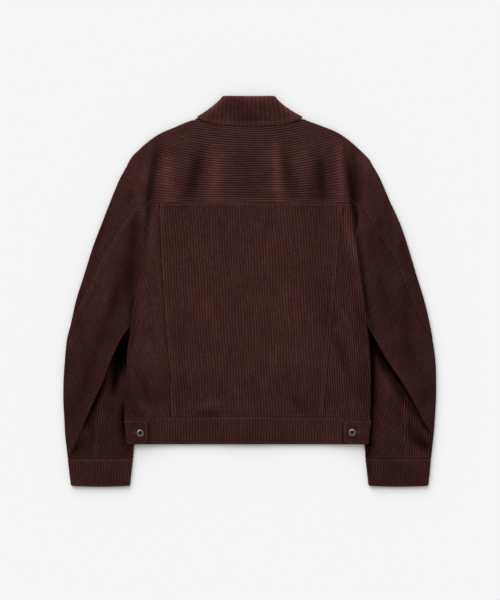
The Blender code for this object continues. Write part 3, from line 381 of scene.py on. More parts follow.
class Section:
    """The outer face of a sleeve across one section. Its legs are numbered: 0 to 1 the outer half that lies
    on the surface, to 2 round the outer edge, to 3 the upper arm's layer, to 4 the elbow fold, to 5 the
    forearm's layer, to 6 round the inner edge, to 7 the inner half that lies on the surface."""

    def __init__(self, side, row):
        table = sleeves[side]
        self.side, self.row = side, row
        self.v = {name: float(table.at(name, row)) for name in SLEEVE_COLUMNS}
        v = self.v
        v["step"], v["tuck"] = min(max(v["step"], 0), 1), max(v["tuck"], 0)
        self.outer = np.array([v["outer_out"], v["outer_up"]])
        self.inner = np.array([v["inner_out"], v["inner_up"]])
        self.width = float(np.hypot(*(self.inner - self.outer)))
        self.fold = v["fold_at"] * self.width
        self.fold_start = self.fold - FOLD_ROLL
        self.fold_end = self.fold_start + mix(FOLD_OPENING, -v["tuck"], v["step"])
        self.fold_end_lift = v["fold_lift"] - v["step"] * 2 * (FOLD_ROLL + TUCK_ROLL)

    def leg(self, number, t):
        """(across, lift) at shares t of one leg."""
        v, width = self.v, self.width
        outer, inner = v["outer_lift"] / 2, v["inner_lift"] / 2
        if number == 0:
            return mix(width / 2, outer, t), 0 * t
        if number == 1:
            angle = math.pi * (t - 0.5)
            return outer - outer * np.cos(angle), outer + outer * np.sin(angle)
        if number == 2:
            across = mix(outer, self.fold_start, t)
            rise = mix(v["outer_lift"], v["mid_lift"], ease(t / 0.35))
            return across, mix(rise, v["fold_lift"], ease((t - 0.5) / 0.5))
        if number == 3:
            return self.fold_leg(t)
        if number == 4:
            across = mix(self.fold_end, width - inner, t)
            return across, mix(self.fold_end_lift, v["inner_lift"], ease(t))
        if number == 5:
            angle = math.pi * (0.5 - t)
            return width - inner + inner * np.cos(angle), inner + inner * np.sin(angle)
        return mix(width - inner, width / 2, t), 0 * t

    def fold_leg(self, t):
        """Round the fold, back under it, and round again, in three shares. Without a step it only rises."""
        v = self.v
        first, back, second = (np.clip(share, 0, 1) for share in (t * 9 / 4, t * 9 - 4, (t * 9 - 5) / 4))
        across = self.fold_start + FOLD_ROLL * np.sin(math.pi * first) - v["tuck"] * back
        across = across - TUCK_ROLL * np.sin(math.pi * second)
        lift = v["fold_lift"] - FOLD_ROLL * (1 - np.cos(math.pi * first))
        lift = lift - TUCK_ROLL * (1 - np.cos(math.pi * second))
        across = mix(self.fold_start + FOLD_OPENING * t, across, v["step"])
        return across, mix(v["fold_lift"], lift, v["step"])

    def way_of(self, share):
        """Where a seam at a share of the section's width lies, in legs. Below 0, it is under the outer
        edge."""
        distance = share * self.width
        outer, inner = self.v["outer_lift"] / 2, self.v["inner_lift"] / 2
        if distance < -outer:
            return 1 - (-distance - outer) / (self.width / 2 - outer)
        if distance < outer:
            return 1.5 + distance / outer / 2
        if share >= 1:
            return 5.5
        if distance < self.fold_start and share < self.v["fold_at"] - 0.2:
            return 2 + (distance - outer) / (self.fold_start - outer)
        return 4 + np.clip((distance - self.fold_end) / (self.width - inner - self.fold_end), 0.05, 1.0)

    def points(self, ways):
        ways = np.asarray(ways, float) % 7
        across, lift = np.zeros_like(ways), np.zeros_like(ways)
        for number in range(7):
            here = (ways >= number) & ((ways < number + 1) | (number == 6))
            across[here], lift[here] = self.leg(number, ways[here] - number)
        share = across / self.width
        plan = mix(self.outer[:, None], self.inner[:, None], share)
        hole = np.stack([armhole.at(self.side + name, share) for name in ("_out", "_up")])
        ends = np.stack([[armhole.at(self.side + name, s) for s in (0, 1)] for name in ("_out", "_up")])
        plan = plan + max(self.v["bow"], 0) * (hole - mix(ends[:, :1], ends[:, 1:], share))
        return place(self.side, plan[0], plan[1], lift)


def collar_frame(side, turn):
    """The collar's middle surface at one turn: its seam, fold and edge, and the way that its face looks."""
    look = math.pi * ease((turn - 0.36) / 0.28)
    base = 5.3 + 3.1 * math.cos(look)
    read = {name: float(collar_ring.at(name, turn)) for name in COLLAR_COLUMNS}
    for name, lean in COLLAR_LEAN.items():
        read[name] += lean * (side == "right") * ease((0.85 - turn) / 0.25) * ease(read[name] / 45.0)
    to_front = ease((turn - 0.49) / 0.13)
    seam_out = read["seam_out"]
    at_back = neck_line(seam_out) + mix(SEAM, CURVED_SEAM, ease((turn - 0.3) / 0.1))
    seam = np.array([seam_out, mix(at_back, front_neck(seam_out) + 2 * CURVED_SEAM, to_front), base])
    fold = np.array([read["fold_out"], read["fold_up"], base])
    edge = np.array([read["edge_out"], read["edge_up"], base])
    return seam, fold, edge, np.array([math.sin(look), 0.0, math.cos(look)])


def collar_between(side, turn, fold, end, t):
    """A point on the way from the fold to another edge of the collar, which is hollow beside the neck."""
    point = mix(fold, end, t)
    hollow = COLLAR_HOLLOW[side] * ease((turn - 0.3) / 0.15) * ease((0.7 - turn) / 0.15)
    point[0] -= hollow * math.sin(math.pi * t)
    return point


def band_edge(side, up):
    """The side of the waistband, which narrows a little towards its lower edge."""
    share = (BAND_TOP - up) / (BAND_TOP - BAND_BOTTOM)
    top, bottom = (233.7, 226.5) if side == "left" else (232.2, 227.0)
    return mix(top, bottom, share)


BAND_UNDER = 7.3  # lift of the band's lower layer where it lies over the sleeve
BAND_RIM = 13.0  # lift of its upper layer there


def band_lift(out):
    """The upper layer's outer face."""
    middle = 6.4 + 1.6 * ease((70.0 - out) / 50.0)
    return mix(middle, BAND_RIM, ease((out - 232.0 + 100.0) / 100.0))


def band_under_lift(side, out):
    """The lower layer's outer face."""
    lap = (BAND_WALL + LAY) * (side == "right") * ease((FRONT_LAP + 24.0 - out) / 20.0)
    return lap + BAND_UNDER * ease(1.0 - (212.0 - out) / 60.0)


BAND_UNDER_STEPS = (210.0, 194.0, 178.0, 150.0, 60.0, FRONT_LAP + 24.0, FRONT_LAP + 4.0, -FRONT_LAP)
BODY_TOP, BODY_BOTTOM = 166.5, -239.1

# What follows is only in the looks: wales, creases and shades of the nap.

# Millimetres from wale to wale. The real cord has 2.9, too fine for a picture of the whole jacket, so each
# piece is drawn as coarse as it needs to show. forearm, hand: a sleeve's under and outer piece beyond the
# elbow.
PITCH = {
    "center": 5.5, "side": 4.6, "yoke": 4.45, "arm": 3.6, "forearm": 4.8, "hand": 4.65, "band": 5.25,
    "cuff": 5.2, "collar": 8.75, "front": 5.5,
}
RELIEF = 0.5  # height of a wale over its groove
# A tone is how light the pile is drawn, mostly painted light and shade: 0 is plain, below 0 is painted shade
# and above 0 a painted highlight. These are the painted highlights along the raised edge at a seam, at the
# back seam of the left sleeve and at the top of a cuff.
SEAM_HIGHLIGHTS = {"seam": 0.35, "worn": 0.8, "pressed": 0.12}

# Soft ridges and troughs of the cloth. Each row is x0, y0, x1, y1 of its ends, its width, its lift at the
# middle,
# below 0 for a trough, and its tone: painted shade below 0 and a painted highlight above 0. Rows with no lift
# are only painted light and shade.
YOKE_CREASES = (
    (-155, 249, -157, 170, 14, 0.5, 0.8),
    (-186, 258, -190, 172, 8, 0, 0.5),
    (-95, 262, -118, 166, 13, -0.9, -1.1),
    (-57, 250, -56, 175, 17, 0, 0.3),
    (78, 292, 79, 200, 10, 0, 0.25),
    (-64, 264, -72, 175, 15, 0.6, 0.6),
    (-5, 268, -5, 180, 20, -0.3, -0.4),
    (49, 283, 54, 173, 10, 0.6, 0.85),
    (63, 268, 84, 177, 12, -0.6, -0.8),
    (101, 276, 107, 207, 12, 0.3, 0.2),
    (132, 252, 139, 165, 12, -0.8, -1.25),
    (115, 222, 118, 163, 9, 0, -0.35),
    (169, 285, 175, 162, 7, 0.4, 0.6),
    (-199, 234, -201, 201, 7, 0.3, 0.45),
    (215, 253, 225, 226, 8, 0.2, 0.35),
    (194, 262, 208, 163, 9, 0, -0.85),
    (-226, 196, -220, 180, 5, 0, -0.5),
)
BACK_CREASES = (
    (-138, 160, -131, 146, 14, 0, -0.3),
    (-70, 160, -45, 101, 18, -0.3, -0.25),
    (-108, -222, -55, -209, 7, 0.8, 0.35),
    (-95, -234, -60, -236, 5, -0.6, -0.55),
    (-43, -160, -7, -218, 8, 0.5, 0.2),
    (6, -165, 16, -205, 7, -0.5, -0.3),
    (76, -198, 109, -234, 7, -0.6, -0.4),
    (40, -122, 44, -154, 12, 0.3, 0.2),
    (-136, -160, -110, -198, 9, -0.4, -0.2),
    (95, 21, 88, -74, 20, 0.3, 0.12),
    (-104, -84, -89, -116, 9, -0.3, -0.2),
    (133, -154, 111, -192, 9, -0.4, -0.2),
    (23, 97, 67, 55, 25, 0.3, 0.15),
    (125, 40, 150, -90, 32, 0, -0.3),
    (160, 40, 155, -160, 22, 0, -0.25),
    (133, 165, 133, 112, 13, 0, -0.3),
    (-132, -72, -120, -142, 17, 0, -0.3),
    (-75, -212, 75, -203, 22, 0, 0.2),
    (-80, -10, -72, -50, 14, 0, 0.25),
)
SIDE_CREASES = (
    (-192, -112, -203, -106, 13, 0.4, 0.3),
    (-195, -63, -190, -86, 12, -0.4, -0.3),
    (-216, -146, -186, -215, 9, -0.6, -0.4),
    (-186, -188, -155, -207, 12, -0.4, -0.25),
    (-211, -211, -186, -232, 5, 0.6, 0.35),
    (168, -27, 194, -74, 5, 0.8, 0.55),
    (179, -28, 209, -106, 5, -0.7, -0.4),
    (162, -86, 192, -169, 8, -0.6, -0.45),
    (175, 144, 202, 55, 8, 0.3, 0.5),
    (179, 97, 194, -17, 12, -0.3, -0.25),
    (-212, 2, -203, 21, 10, 0.2, 0.25),
    (-171, 144, -174, 59, 8, -0.3, -0.25),
    (194, -203, 190, -217, 9, 0.3, 0.25),
    (-186, 166, -184, 60, 13, 0, 0.4),
    (183, 166, 203, 60, 12, 0, 0.35),
    (168, 40, 172, -160, 16, 0, -0.25),
    (204, -38, 223, -68, 10, 0, -0.35),
    (205, -20, 222, -110, 13, 0, -0.45),
    (215, -120, 218, -220, 16, 0, -0.45),
    (-226, -200, -214, -236, 11, 0, -0.5),
    (-214, -20, -226, -100, 8, 0, -0.3),
)
ARM_CREASES = (
    (-216, 146, -224, 78, 10, -0.8, -0.8),
    (-224, 78, -232, -17, 13, -0.9, -0.9),
    (-245, 25, -285, -93, 12, -0.9, -0.75),
    (-285, -93, -332, -234, 11, -0.8, -0.35),
    (-222, -17, -228, -65, 6, 0, -0.8),
    (-262, 185, -300, 62, 7, 0, -0.4),
    (-316, 5, -332, -40, 6, 0, -0.3),
    (-264, 50, -279, -80, 9, 0, 0.4),
    (-241, 30, -240, -20, 11, 0, 0.25),
    (-341, -85, -341, -110, 8, 0, 0.35),
    (226, 125, 234, 58, 8, 0, -0.3),
    (257, 185, 272, 80, 6, 0, -0.35),
    (284, 105, 303, 33, 7, 0, -0.5),
    (307, 52, 318, 10, 6, 0, -0.4),
    (229, -45, 234, -85, 5, 0, -0.5),
    (-235, -74, -307, -245, 8, 0.9, 0.25),
    (-277, 2, -307, -112, 16, 0.5, 0.15),
    (204, 100, 214, 36, 4, -0.4, -0.7),
    (214, 36, 225, -50, 4, -0.4, -1.0),
    (240, 105, 276, 40, 18, -0.3, -0.3),
    (296, 5, 297, -93, 13, -0.8, -0.5),
    (297, -93, 310, -139, 11, -0.5, -0.4),
    (240, 44, 268, -55, 12, -0.8, -0.4),
    (232, -74, 333, -245, 8, 0.9, 0.2),
    (-226, 188, -235, 162, 9, -0.3, -0.4),
    (244, 144, 255, 87, 14, -0.4, -0.35),
    (327, -179, 331, -226, 12, -0.3, -0.3),
)

# Beyond the elbow fold, and beside the inner seam. Most of these are painted shadows: the deep shade in the
# gap between the body's edge and the sleeve, and the shade below the elbow fold.
FOREARM_CREASES_AND_SHADOWS = (
    (-236, -84, -252, -140, 15, 0, -4.6),
    (-246, -93, -249, -150, 12, 0, -1.7),
    (-253, -148, -259, -190, 7, 0, -2.3),
    (-298, -238, -297, -300, 6, 0, -0.4),
    (-289, -208, -291, -248, 5, 0, -0.5),
    (-346, -258, -340, -308, 5, 0, -0.6),
    (-277, -169, -298, -217, 8, 0, -2.2),
    (-294, -203, -312, -256, 7, 0, -1.5),
    (-240, -218, -239, -272, 6.5, 0, -2.2),
    (-239, -283, -235, -296, 9, 0, -0.8),
    (-340, -304, -318, -285, 9, -0.8, -1.1),
    (-285, -226, -277, -255, 9, 0.7, 0.3),
    (230, -59, 236, -108, 9, 0, -5.2),
    (229.5, -102, 229.5, -210, 7.5, 0, -4.4),
    (228, -205, 226, -290, 6.5, 0, -3.4),
    (240, -170, 237, -262, 8, 0, -0.4),
    (222, -296, 224, -318, 6, 0, -1.2),
    (343, -205, 341, -255, 5, 0, -0.3),
    (241, -112, 255, -150, 6, 0, -1.2),
    (250, -135, 278, -184, 6, 0, -0.7),
    (278, -184, 304, -220, 6, 0, -1.2),
    (304, -220, 325, -246, 6, 0, -0.6),
    (325, -246, 346, -270, 6, 0, -0.8),
    (292, -278, 290, -318, 12, 0, -0.35),
    (246, -112, 284, -169, 7, 0, -3.4),
    (284, -169, 311, -208, 6.5, 0, -2.3),
    (311, -208, 342, -263, 6, 0, -1.7),
    (295, -253, 318, -283, 10, -0.5, -0.9),
    (318, -283, 340, -298, 8, -0.8, -1.3),
    (230, -285, 225, -296, 8, 0, -1.0),
    (255, -160, 266, -198, 9, 0.3, 0.3),
)
# Only painted light and shade on the collar: painted highlights along the rolled fold, down its slopes and
# near its lower edge, and painted shade across the middle of the fall.
COLLAR_LIGHT_AND_SHADE = (
    (-52, 371, 52, 371, 7, 0, 1.5),
    (-53, 365, -93, 331, 8, 0, 0.9),
    (57, 365, 95, 331, 10, 0, 1.2),
    (62, 357, 75, 345, 9, 0, 0.4),
    (-38, 346, 38, 342, 15, 0, -0.5),
    (-45, 326, 45, 326, 8, 0, -0.4),
    (19, 321, 42, 318, 3, 0, 0.5),
    (-80, 325, -28, 318, 3, 0, 0.35),
)
# Only painted light and shade on the cuffs: painted shade in a few places and one painted highlight.
CUFF_LIGHT_AND_SHADE = (
    (221, -320, 226, -350, 6, 0, -0.7),
    (268, -325, 290, -345, 14, 0, -0.35),
    (-282, -350, -258, -350, 14, 0, -0.25),
    (-232, -345, -229, -365, 9, 0, 0.25),
)
# Painted shade in the valley outside the side fold, beside the yoke and the top of the side panel: how dark
# it is drawn.
VALLEY_COLUMNS = ("up", "left", "right")
VALLEY_SHADE = (
    (60.0, 0.4, 0.6),
    (110.0, 0.8, 1.5),
    (140.0, 1.2, 2.1),
    (167.0, 1.6, 1.9),
    (200.0, 1.7, 1.6),
    (240.0, 1.3, 0.8),
    (266.0, 0.7, 0.2),
    (285.0, 0.0, 0.0),
)
VALLEY_BEYOND = {"left": -1.0, "right": 8.0}  # from the side fold outward to its middle
VALLEY_WIDTH = {"left": 8.0, "right": 7.0}
valley_darkness = Table(VALLEY_COLUMNS, VALLEY_SHADE)


def valley(side, points):
    """The painted shade of the valley outside the side fold, as a tone."""
    beyond = SIGN[side] * (points[..., 0] - BODY_MID) - body.at(side, points[..., 1])
    depth = valley_darkness.at(side, points[..., 1])
    return -depth * np.exp(-(((beyond - VALLEY_BEYOND[side]) / VALLEY_WIDTH[side]) ** 2))


def creases(table, points):
    """(lift, tone) that a table of creases adds at points; the tone is painted light and shade. A crease
    fades out towards its ends.
    """
    lift, tone = np.zeros(points.shape[:-1]), np.zeros(points.shape[:-1])
    for x0, y0, x1, y1, width, height, shade in table:
        dx, dy = x1 - x0, y1 - y0
        t = np.clip(((points[..., 0] - x0) * dx + (points[..., 1] - y0) * dy) / (dx * dx + dy * dy), 0, 1)
        away = np.hypot(points[..., 0] - x0 - t * dx, points[..., 1] - y0 - t * dy)
        along = 0.35 + 0.65 * np.sin(math.pi * np.clip(t, 0.02, 0.98)) ** 0.6
        there = np.exp(-((away / width) ** 2)) * along
        lift += height * there
        tone += shade * there
    return lift, tone


# Pieces of cloth.


def steps_along(points, axis):
    """Length passed along an axis of a grid of points."""
    step = np.linalg.norm(np.diff(points, axis=axis), axis=-1)
    start = np.zeros_like(np.take(step, [0], axis=axis))
    return np.concatenate([start, np.cumsum(step, axis=axis)], axis=axis)


def grid_normals(points, closed=False):
    """The way that the outer face looks at each point of a grid. A closed one is a ring across."""
    if closed:
        ring = np.concatenate([points[:, -1:], points, points[:, :1]], axis=1)
        across = (ring[:, 2:] - ring[:, :-2]) / 2
    else:
        across = np.gradient(points, axis=1)
    down = np.gradient(points, axis=0)
    normal = np.cross(down, across)
    return normal / np.maximum(np.linalg.norm(normal, axis=-1), 1e-9)[..., None]


ON_TABLE = 0.05  # lift of the cloth where it lies on the table


def above(points, lift):
    """The points, with those that lie lower raised to the lift."""
    return np.maximum(points, (-np.inf, -np.inf, lift))


class Cloth:
    """A piece of cloth: a grid of points, rows first, seen from its outer face from left to right and from
    top to bottom. wale is how many wales lie before each point, depth how strongly they show, and tone the
    painted light and shade on it. edges says what the top, bottom, left and right borders are: a kind of seam
    from the table of seam highlights, sunk (beside the felled edge of the next piece, in painted shade), free
    (a rolled edge with a painted highlight) or plain. Behind a border the cloth returns for as many points as
    reach says."""

    def __init__(self, name, points, wale, tone=0.0, wall=WALL, depth=1.0, edges=("seam",) * 4, closed=False,
                 reach=5, relief=RELIEF):
        self.name, self.form, self.closed, self.wall, self.reach = name, points, closed, wall, reach
        # The wales waver by up to three tenths of their pitch.
        x, y = points[..., 0], points[..., 1]
        stray = 0.17 * np.sin(x / 27 + 1.7 * np.sin(y / 47)) + 0.12 * np.sin(y / 23 + 2.1 * np.sin(x / 38))
        self.wale = np.broadcast_to(wale, points.shape[:2]) + (0 if closed else stray)
        self.tone = np.broadcast_to(tone, points.shape[:2]).astype(float).copy()
        self.depth = np.broadcast_to(depth, points.shape[:2]).astype(float).copy()
        self.normals = grid_normals(points, closed)
        down, across = steps_along(points, 0), steps_along(points, 1)
        self.from_edge = [down, down[-1:] - down, across, across[:, -1:] - across]
        height = relief * self.depth * (0.5 - 0.5 * np.cos(2 * math.pi * self.wale))
        for away, kind in zip(self.from_edge, edges):
            if kind in SEAM_HIGHLIGHTS:
                # The wales are pressed, and the cloth rises over its allowance before it dips to the seam.
                height = height * (0.35 + 0.65 * ease(away / 3.0))
                height += 0.3 * np.exp(-(((away - 3.4) / 2.2) ** 2))
                height -= 0.45 * np.clip(1 - away / 1.6, 0, 1) ** 2
                # Painted highlight along the raised edge of the seam, and painted shade right at the seam.
                self.tone += SEAM_HIGHLIGHTS[kind] * np.exp(-(((away - 1.8) / 1.8) ** 2))
                self.tone -= 0.2 * np.clip(1 - away / 0.8, 0, 1)
            elif kind == "sunk":
                height = height - 0.6 * np.clip(1 - away / 3.0, 0, 1) ** 2
                # Painted shade beside the felled edge of the next piece.
                self.tone -= 0.55 * np.exp(-((away / 1.8) ** 2))
            elif kind == "free":
                height -= 0.35 * np.clip(1 - away / 1.2, 0, 1) ** 2
                # Painted highlight along a free, rolled edge.
                self.tone += 0.35 * np.exp(-((away / 1.8) ** 2))
        self.points = points + self.normals * np.asarray(height)[..., None]
        self.edges = edges

    def line(self, border, away):
        """Points along a border, at a distance from it and just over the cloth, and the normals there."""
        number = ("top", "bottom", "left", "right").index(border)
        points, normals, distance = self.points, self.normals, self.from_edge[number]
        if number < 2:
            points, normals, distance = points.transpose(1, 0, 2), normals.transpose(1, 0, 2), distance.T
        if number in (1, 3):
            points, normals, distance = points[:, ::-1], normals[:, ::-1], distance[:, ::-1]
        found, looks = (
            np.array([[np.interp(away, distance[row], values[row, :, k]) for k in range(3)]
                      for row in range(len(values))])
            for values in (points, normals)
        )
        return found + looks * STITCH_LIFT, looks

    def build(self, matter):
        """The mesh: the outer face, and at each border the wall's thickness and a short return behind it."""
        points, values = self.points, [self.wale, self.tone, self.depth, self.normals]
        reach = self.reach
        protrude = [{"free": 0.35, "plain": 0.0}.get(kind, 0.15) for kind in self.edges]
        for axis in (0, 1) if not self.closed else (0,):
            first, second = (0, 1) if axis == 0 else (2, 3)
            if axis == 1:
                points, values = points.swapaxes(0, 1), [v.swapaxes(0, 1) for v in values]
            normals = values[-1]
            heads = []
            for ends, bulge in (((0, 1, reach), protrude[first]), ((-1, -2, -reach - 1), protrude[second])):
                edge, near, deep = (points[i] for i in ends)
                away = edge - near
                away = away / np.maximum(np.linalg.norm(away, axis=-1), 1e-6)[:, None]
                look = normals[ends[0]]
                middle = edge + away * bulge - look * self.wall * 0.5
                heads.append([middle, edge - look * self.wall, deep - normals[ends[2]] * self.wall])
            top, bottom = heads
            points = np.concatenate([[top[2], top[1], top[0]], points, [bottom[0], bottom[1], bottom[2]]])
            ends = [reach, 0, 0], [-1, -1, -reach - 1]
            values = [np.concatenate([v[ends[0]], v, v[ends[1]]]) for v in values]
            if axis == 1:
                points, values = points.swapaxes(0, 1), [v.swapaxes(0, 1) for v in values]
        wale, tone, depth, _ = values
        name, points = self.name + "_cloth", above(points, ON_TABLE)
        return grid_object(name, points, matter, self.closed, wale=wale, tone=tone, depth=depth)

    def flat_size(self):
        """Width, length and area of the cut, in metres."""
        down, across = steps_along(self.form, 0), steps_along(self.form, 1)
        width, length = across[:, -1].max(), down[-1].max()
        if self.closed:
            width += np.linalg.norm(self.form[:, 0] - self.form[:, -1], axis=-1).max()
        cross = np.cross(np.diff(self.form, axis=0)[:, :-1], np.diff(self.form, axis=1)[:-1])
        area = np.linalg.norm(cross, axis=-1).sum() * 1e-6
        return width * MM, length * MM, min(area, width * length * 1e-6)


def mesh_object(name, vertices, faces, matter, smooth=True, **values):
    """An object from arrays of points in millimetres and of faces with three or four corners each."""
    mesh = bpy.data.meshes.new(name)
    faces = np.asarray(faces, np.int32)
    mesh.vertices.add(len(vertices))
    mesh.vertices.foreach_set("co", (np.asarray(vertices) * MM).astype(np.float32).ravel())
    mesh.loops.add(faces.size)
    mesh.loops.foreach_set("vertex_index", faces.ravel())
    mesh.polygons.add(len(faces))
    mesh.polygons.foreach_set("loop_start", np.arange(0, faces.size, faces.shape[1], dtype=np.int32))
    mesh.polygons.foreach_set("loop_total", np.full(len(faces), faces.shape[1], np.int32))
    mesh.polygons.foreach_set("use_smooth", np.full(len(faces), smooth))
    for key, value in values.items():
        attribute = mesh.attributes.new(key, "FLOAT", "POINT")
        attribute.data.foreach_set("value", value.ravel().astype(np.float32))
    mesh.update(calc_edges=True)
    mesh.validate()
    mesh.materials.append(matter)
    made = bpy.data.objects.new(name, mesh)
    bpy.context.scene.collection.objects.link(made)
    return made


def grid_object(name, points, matter, closed=False, **values):
    """An object from a grid of points. A closed one joins its last column to its first."""
    rows, columns = points.shape[:2]
    number = np.arange(rows * columns).reshape(rows, columns)
    if closed:
        number = np.concatenate([number, number[:, :1]], axis=1)
    a, b, c, d = number[:-1, :-1], number[1:, :-1], number[1:, 1:], number[:-1, 1:]
    faces = np.stack([a, b, c, d], axis=-1).reshape(-1, 4)
    return mesh_object(name, points.reshape(-1, 3), faces, matter, **values)


# Forms of the pieces, finer than on the solids.

NEAR_EDGE = np.array([0.0, 0.7, 1.5, 2.4, 3.6, 5.2, 7.5])


def steps(start, end, step):
    """Places from start to end at even steps, closer together at both ends."""
    length = abs(end - start)
    count = max(2, int((length - 2 * NEAR_EDGE[-1]) / step) + 1)
    middle = np.linspace(NEAR_EDGE[-1], length - NEAR_EDGE[-1], count)
    places = np.concatenate([NEAR_EDGE[:-1], middle, length - NEAR_EDGE[-2::-1]])
    return start + math.copysign(1.0, end - start) * places


def creased(points, *tables, closed=False, where=1.0):
    """Points moved by the creases of the tables where they look up, and their tone of painted light and
    shade.
    """
    normals = grid_normals(points, closed)
    upward = ease(normals[..., 2] * 2.0) * where
    lift, tone = np.zeros(points.shape[:2]), np.zeros(points.shape[:2])
    for table in tables:
        more, shade = creases(table, points)
        lift, tone = lift + more, tone + shade
    return points + normals * (lift * upward)[..., None], tone * upward


def puff(up):
    """The body swells a little just above the waistband, which holds it in."""
    return 1.3 * np.exp(-(((up - BAND_TOP - 13.0) / 9.0) ** 2))


def body_tone(up):
    """The back looks darker towards the waistband."""
    return -0.1 - 0.28 * ease((-120.0 - up) / 80.0)


def back_center():
    """The panel between the V seams. Its wales lean a little, as the back lies."""
    up = steps(BODY_TOP, BODY_BOTTOM, 4.6)[:, None]
    share = np.linspace(-1, 1, 321)
    left, right = (vseam.at(side, up) - SEAM / 2 for side in ("left", "right"))
    across = np.where(share < 0, share * left, share * right)
    lift = np.where(across < 0, back_lift("left", -across, up), back_lift("right", across, up)) + puff(up)
    points, tone = creased(place("right", across, up, lift), BACK_CREASES)
    wale = (across + 0.06 * up) / PITCH["center"] + 60
    return Cloth("back_center", points, wale, tone + body_tone(up), depth=0.48)


def flap_end(side, up, sag):
    """Where the side panel meets the sleeve outside its side fold, on a row that sags towards there."""
    end = armhole_out(side, up)
    for _ in range(8):
        end = armhole_out(side, up + sag * (yoke_seam.at(side, end) - YOKE_SEAM - SEAM))
    return end - CURVED_SEAM


def side_row(side, up):
    """A row of a side panel: from the V seam to the side fold, round it, and back under it to the side seam.
    Near the yoke it goes on outside the fold instead, down to the sleeve, as the yoke does."""
    sag = 1.03 - 1.03 * ease((BODY_TOP - up) / 50.0)
    fold_up = up + sag * (yoke_seam.at(side, body.at(side, up)) - YOKE_SEAM)
    fold, rim, low = (body.at(name, fold_up) for name in (side, "rim", "under"))
    radius = (rim - low) / 2
    start = vseam.at(side, up) + SEAM / 2
    out = np.linspace(start, fold - radius, 86)
    lift = back_lift(side, out, up)
    lift += (rim - lift[-1]) * ease((out - start) / (out[-1] - start)) + puff(up)
    angle = np.linspace(0, math.pi, 15)[1:]
    turn_lift = (rim + low) / 2 + radius * np.cos(angle) + puff(up) * (1 + np.cos(angle)) / 2
    end = min(front_edge(side, up) + SEAM, fold - radius - 2.5)
    share = np.linspace(0, 1, 13)[1:]
    over_sleeve = np.clip((fold - radius - sleeve_inner(side, up)) / (fold - radius - end), 0.0, 0.8)
    under_lift = mix(low, seam_lift(up), ease((share - over_sleeve) / (1 - over_sleeve)))
    flat = len(out)
    out = np.concatenate([out, fold - radius + radius * np.sin(angle), mix(fold - radius, end, share)])
    ups = up + sag * (yoke_seam.at(side, out) - YOKE_SEAM - SEAM * ease((out - 162.0) / 8.0))
    points = place(side, out, ups, np.concatenate([lift, turn_lift, under_lift]))
    flap_out = mix(fold - radius, flap_end(side, up, sag), np.linspace(0, 1, len(out) - flat + 1)[1:])
    flap_ups = up + sag * (yoke_seam.at(side, flap_out) - YOKE_SEAM - SEAM)
    flap = place(side, flap_out, flap_ups, yoke_lift(side, flap_out, flap_ups))
    points[flat:] = mix(points[flat:], flap, ease((up - 92.0) / 36.0))
    return points


def back_side(side):
    points = np.array([side_row(side, up) for up in steps(BODY_TOP, BODY_BOTTOM, 4.4)])
    lean = {"left": -0.15, "right": 0.18}[side]
    wale = (steps_along(points, 1) + lean * points[:, :1, 1]) / PITCH["side"] + 40
    if side == "left":
        points, wale = points[:, ::-1], wale[:, ::-1]
    shade = valley(side, points)
    points, tone = creased(points, SIDE_CREASES)
    tone = tone + shade + body_tone(points[..., 1])
    edges = {"left": ("seam", "seam", "seam", "sunk"), "right": ("seam", "seam", "sunk", "seam")}[side]
    depth = {"left": 0.6, "right": 0.8}[side]
    return Cloth("back_side_" + side, points, wale, tone, depth=depth, edges=edges)


YOKE_HIDDEN = 14  # points of a column of the yoke that lie on the shoulder's fold or behind it


def yoke_column_points(side, share):
    """A column of the yoke from behind the shoulder's fold down to the yoke seam, as (x, y, lift, wale)."""
    length, line = yoke_column(side, share)
    wrap = ease((line[0, 0] - NECK_OUT) / 8.0)
    top_out, top_up = (np.interp(SHOULDER_ROLL, length, line[i]) for i in (0, 1))
    lift = yoke_lift(side, top_out, top_up)
    angle = np.linspace(math.pi, 0, YOKE_HIDDEN - 1)
    turned = np.append(SHOULDER_ROLL + SHOULDER_RETURN, SHOULDER_ROLL - SHOULDER_ROLL * np.sin(angle))
    turned_lift = lift / 2 * (1 + np.append(-1, np.cos(angle)))
    plain = np.linspace(0, SHOULDER_ROLL, YOKE_HIDDEN)
    spread = np.append(np.linspace(0, 0.94, 146)[1:], np.linspace(0.945, 1, 15))
    down = mix(SHOULDER_ROLL, length[-1], spread)
    along = np.append(mix(plain, turned, wrap), down)
    out, up = (np.interp(along, length, line[i]) for i in (0, 1))
    flat = slice(YOKE_HIDDEN, None)
    lifts = np.append(mix(lift, turned_lift, wrap), yoke_lift(side, out[flat], up[flat]))
    # Inside the collar's side the corner of the yoke dips under its edge.
    lifts -= 2.4 * ease((out - 73.0) / 8.0) * ease((106.0 - out) / 6.0) * ease((up - 316.0) / 7.0)
    # The wales hang a little round the collar, and climb outside the fold.
    climb = out**2 * (0.00020 + 0.00085 * ease((up - YOKE_SEAM) / 150.0))
    climb = climb + 0.55 * np.maximum(out - body.at(side, up), 0) ** 1.1
    wale = (up - climb) / PITCH["yoke"] + 40
    return np.append(place(side, out, up, lifts), wale[:, None], axis=1)


def back_yoke():
    shares = np.append(np.linspace(0, YOKE_FOLD, 64), np.linspace(YOKE_FOLD, 1, 15)[1:])
    left, right = ([yoke_column_points(side, share) for share in shares] for side in ("left", "right"))
    grid = np.array(left[:0:-1] + right).transpose(1, 0, 2)
    points, wale = grid[..., :3], grid[..., 3]
    down = steps_along(points, 0)
    first = YOKE_HIDDEN
    wale[:first] = wale[first] + (down[first] - down[:first]) / PITCH["yoke"]
    settled = ease((down[-1:] - down) / 12.0)
    shade = valley("left", points) + valley("right", points)
    points, tone = creased(points, YOKE_CREASES, where=settled)
    tone = tone / np.maximum(settled, 0.05) + shade
    depth = 0.93 - 0.33 * ease((np.abs(points[..., 0] - BODY_MID) - 95.0) / 40.0)
    return Cloth("back_yoke", points, wale, tone, depth=depth, edges=("plain", "seam", "seam", "seam"))


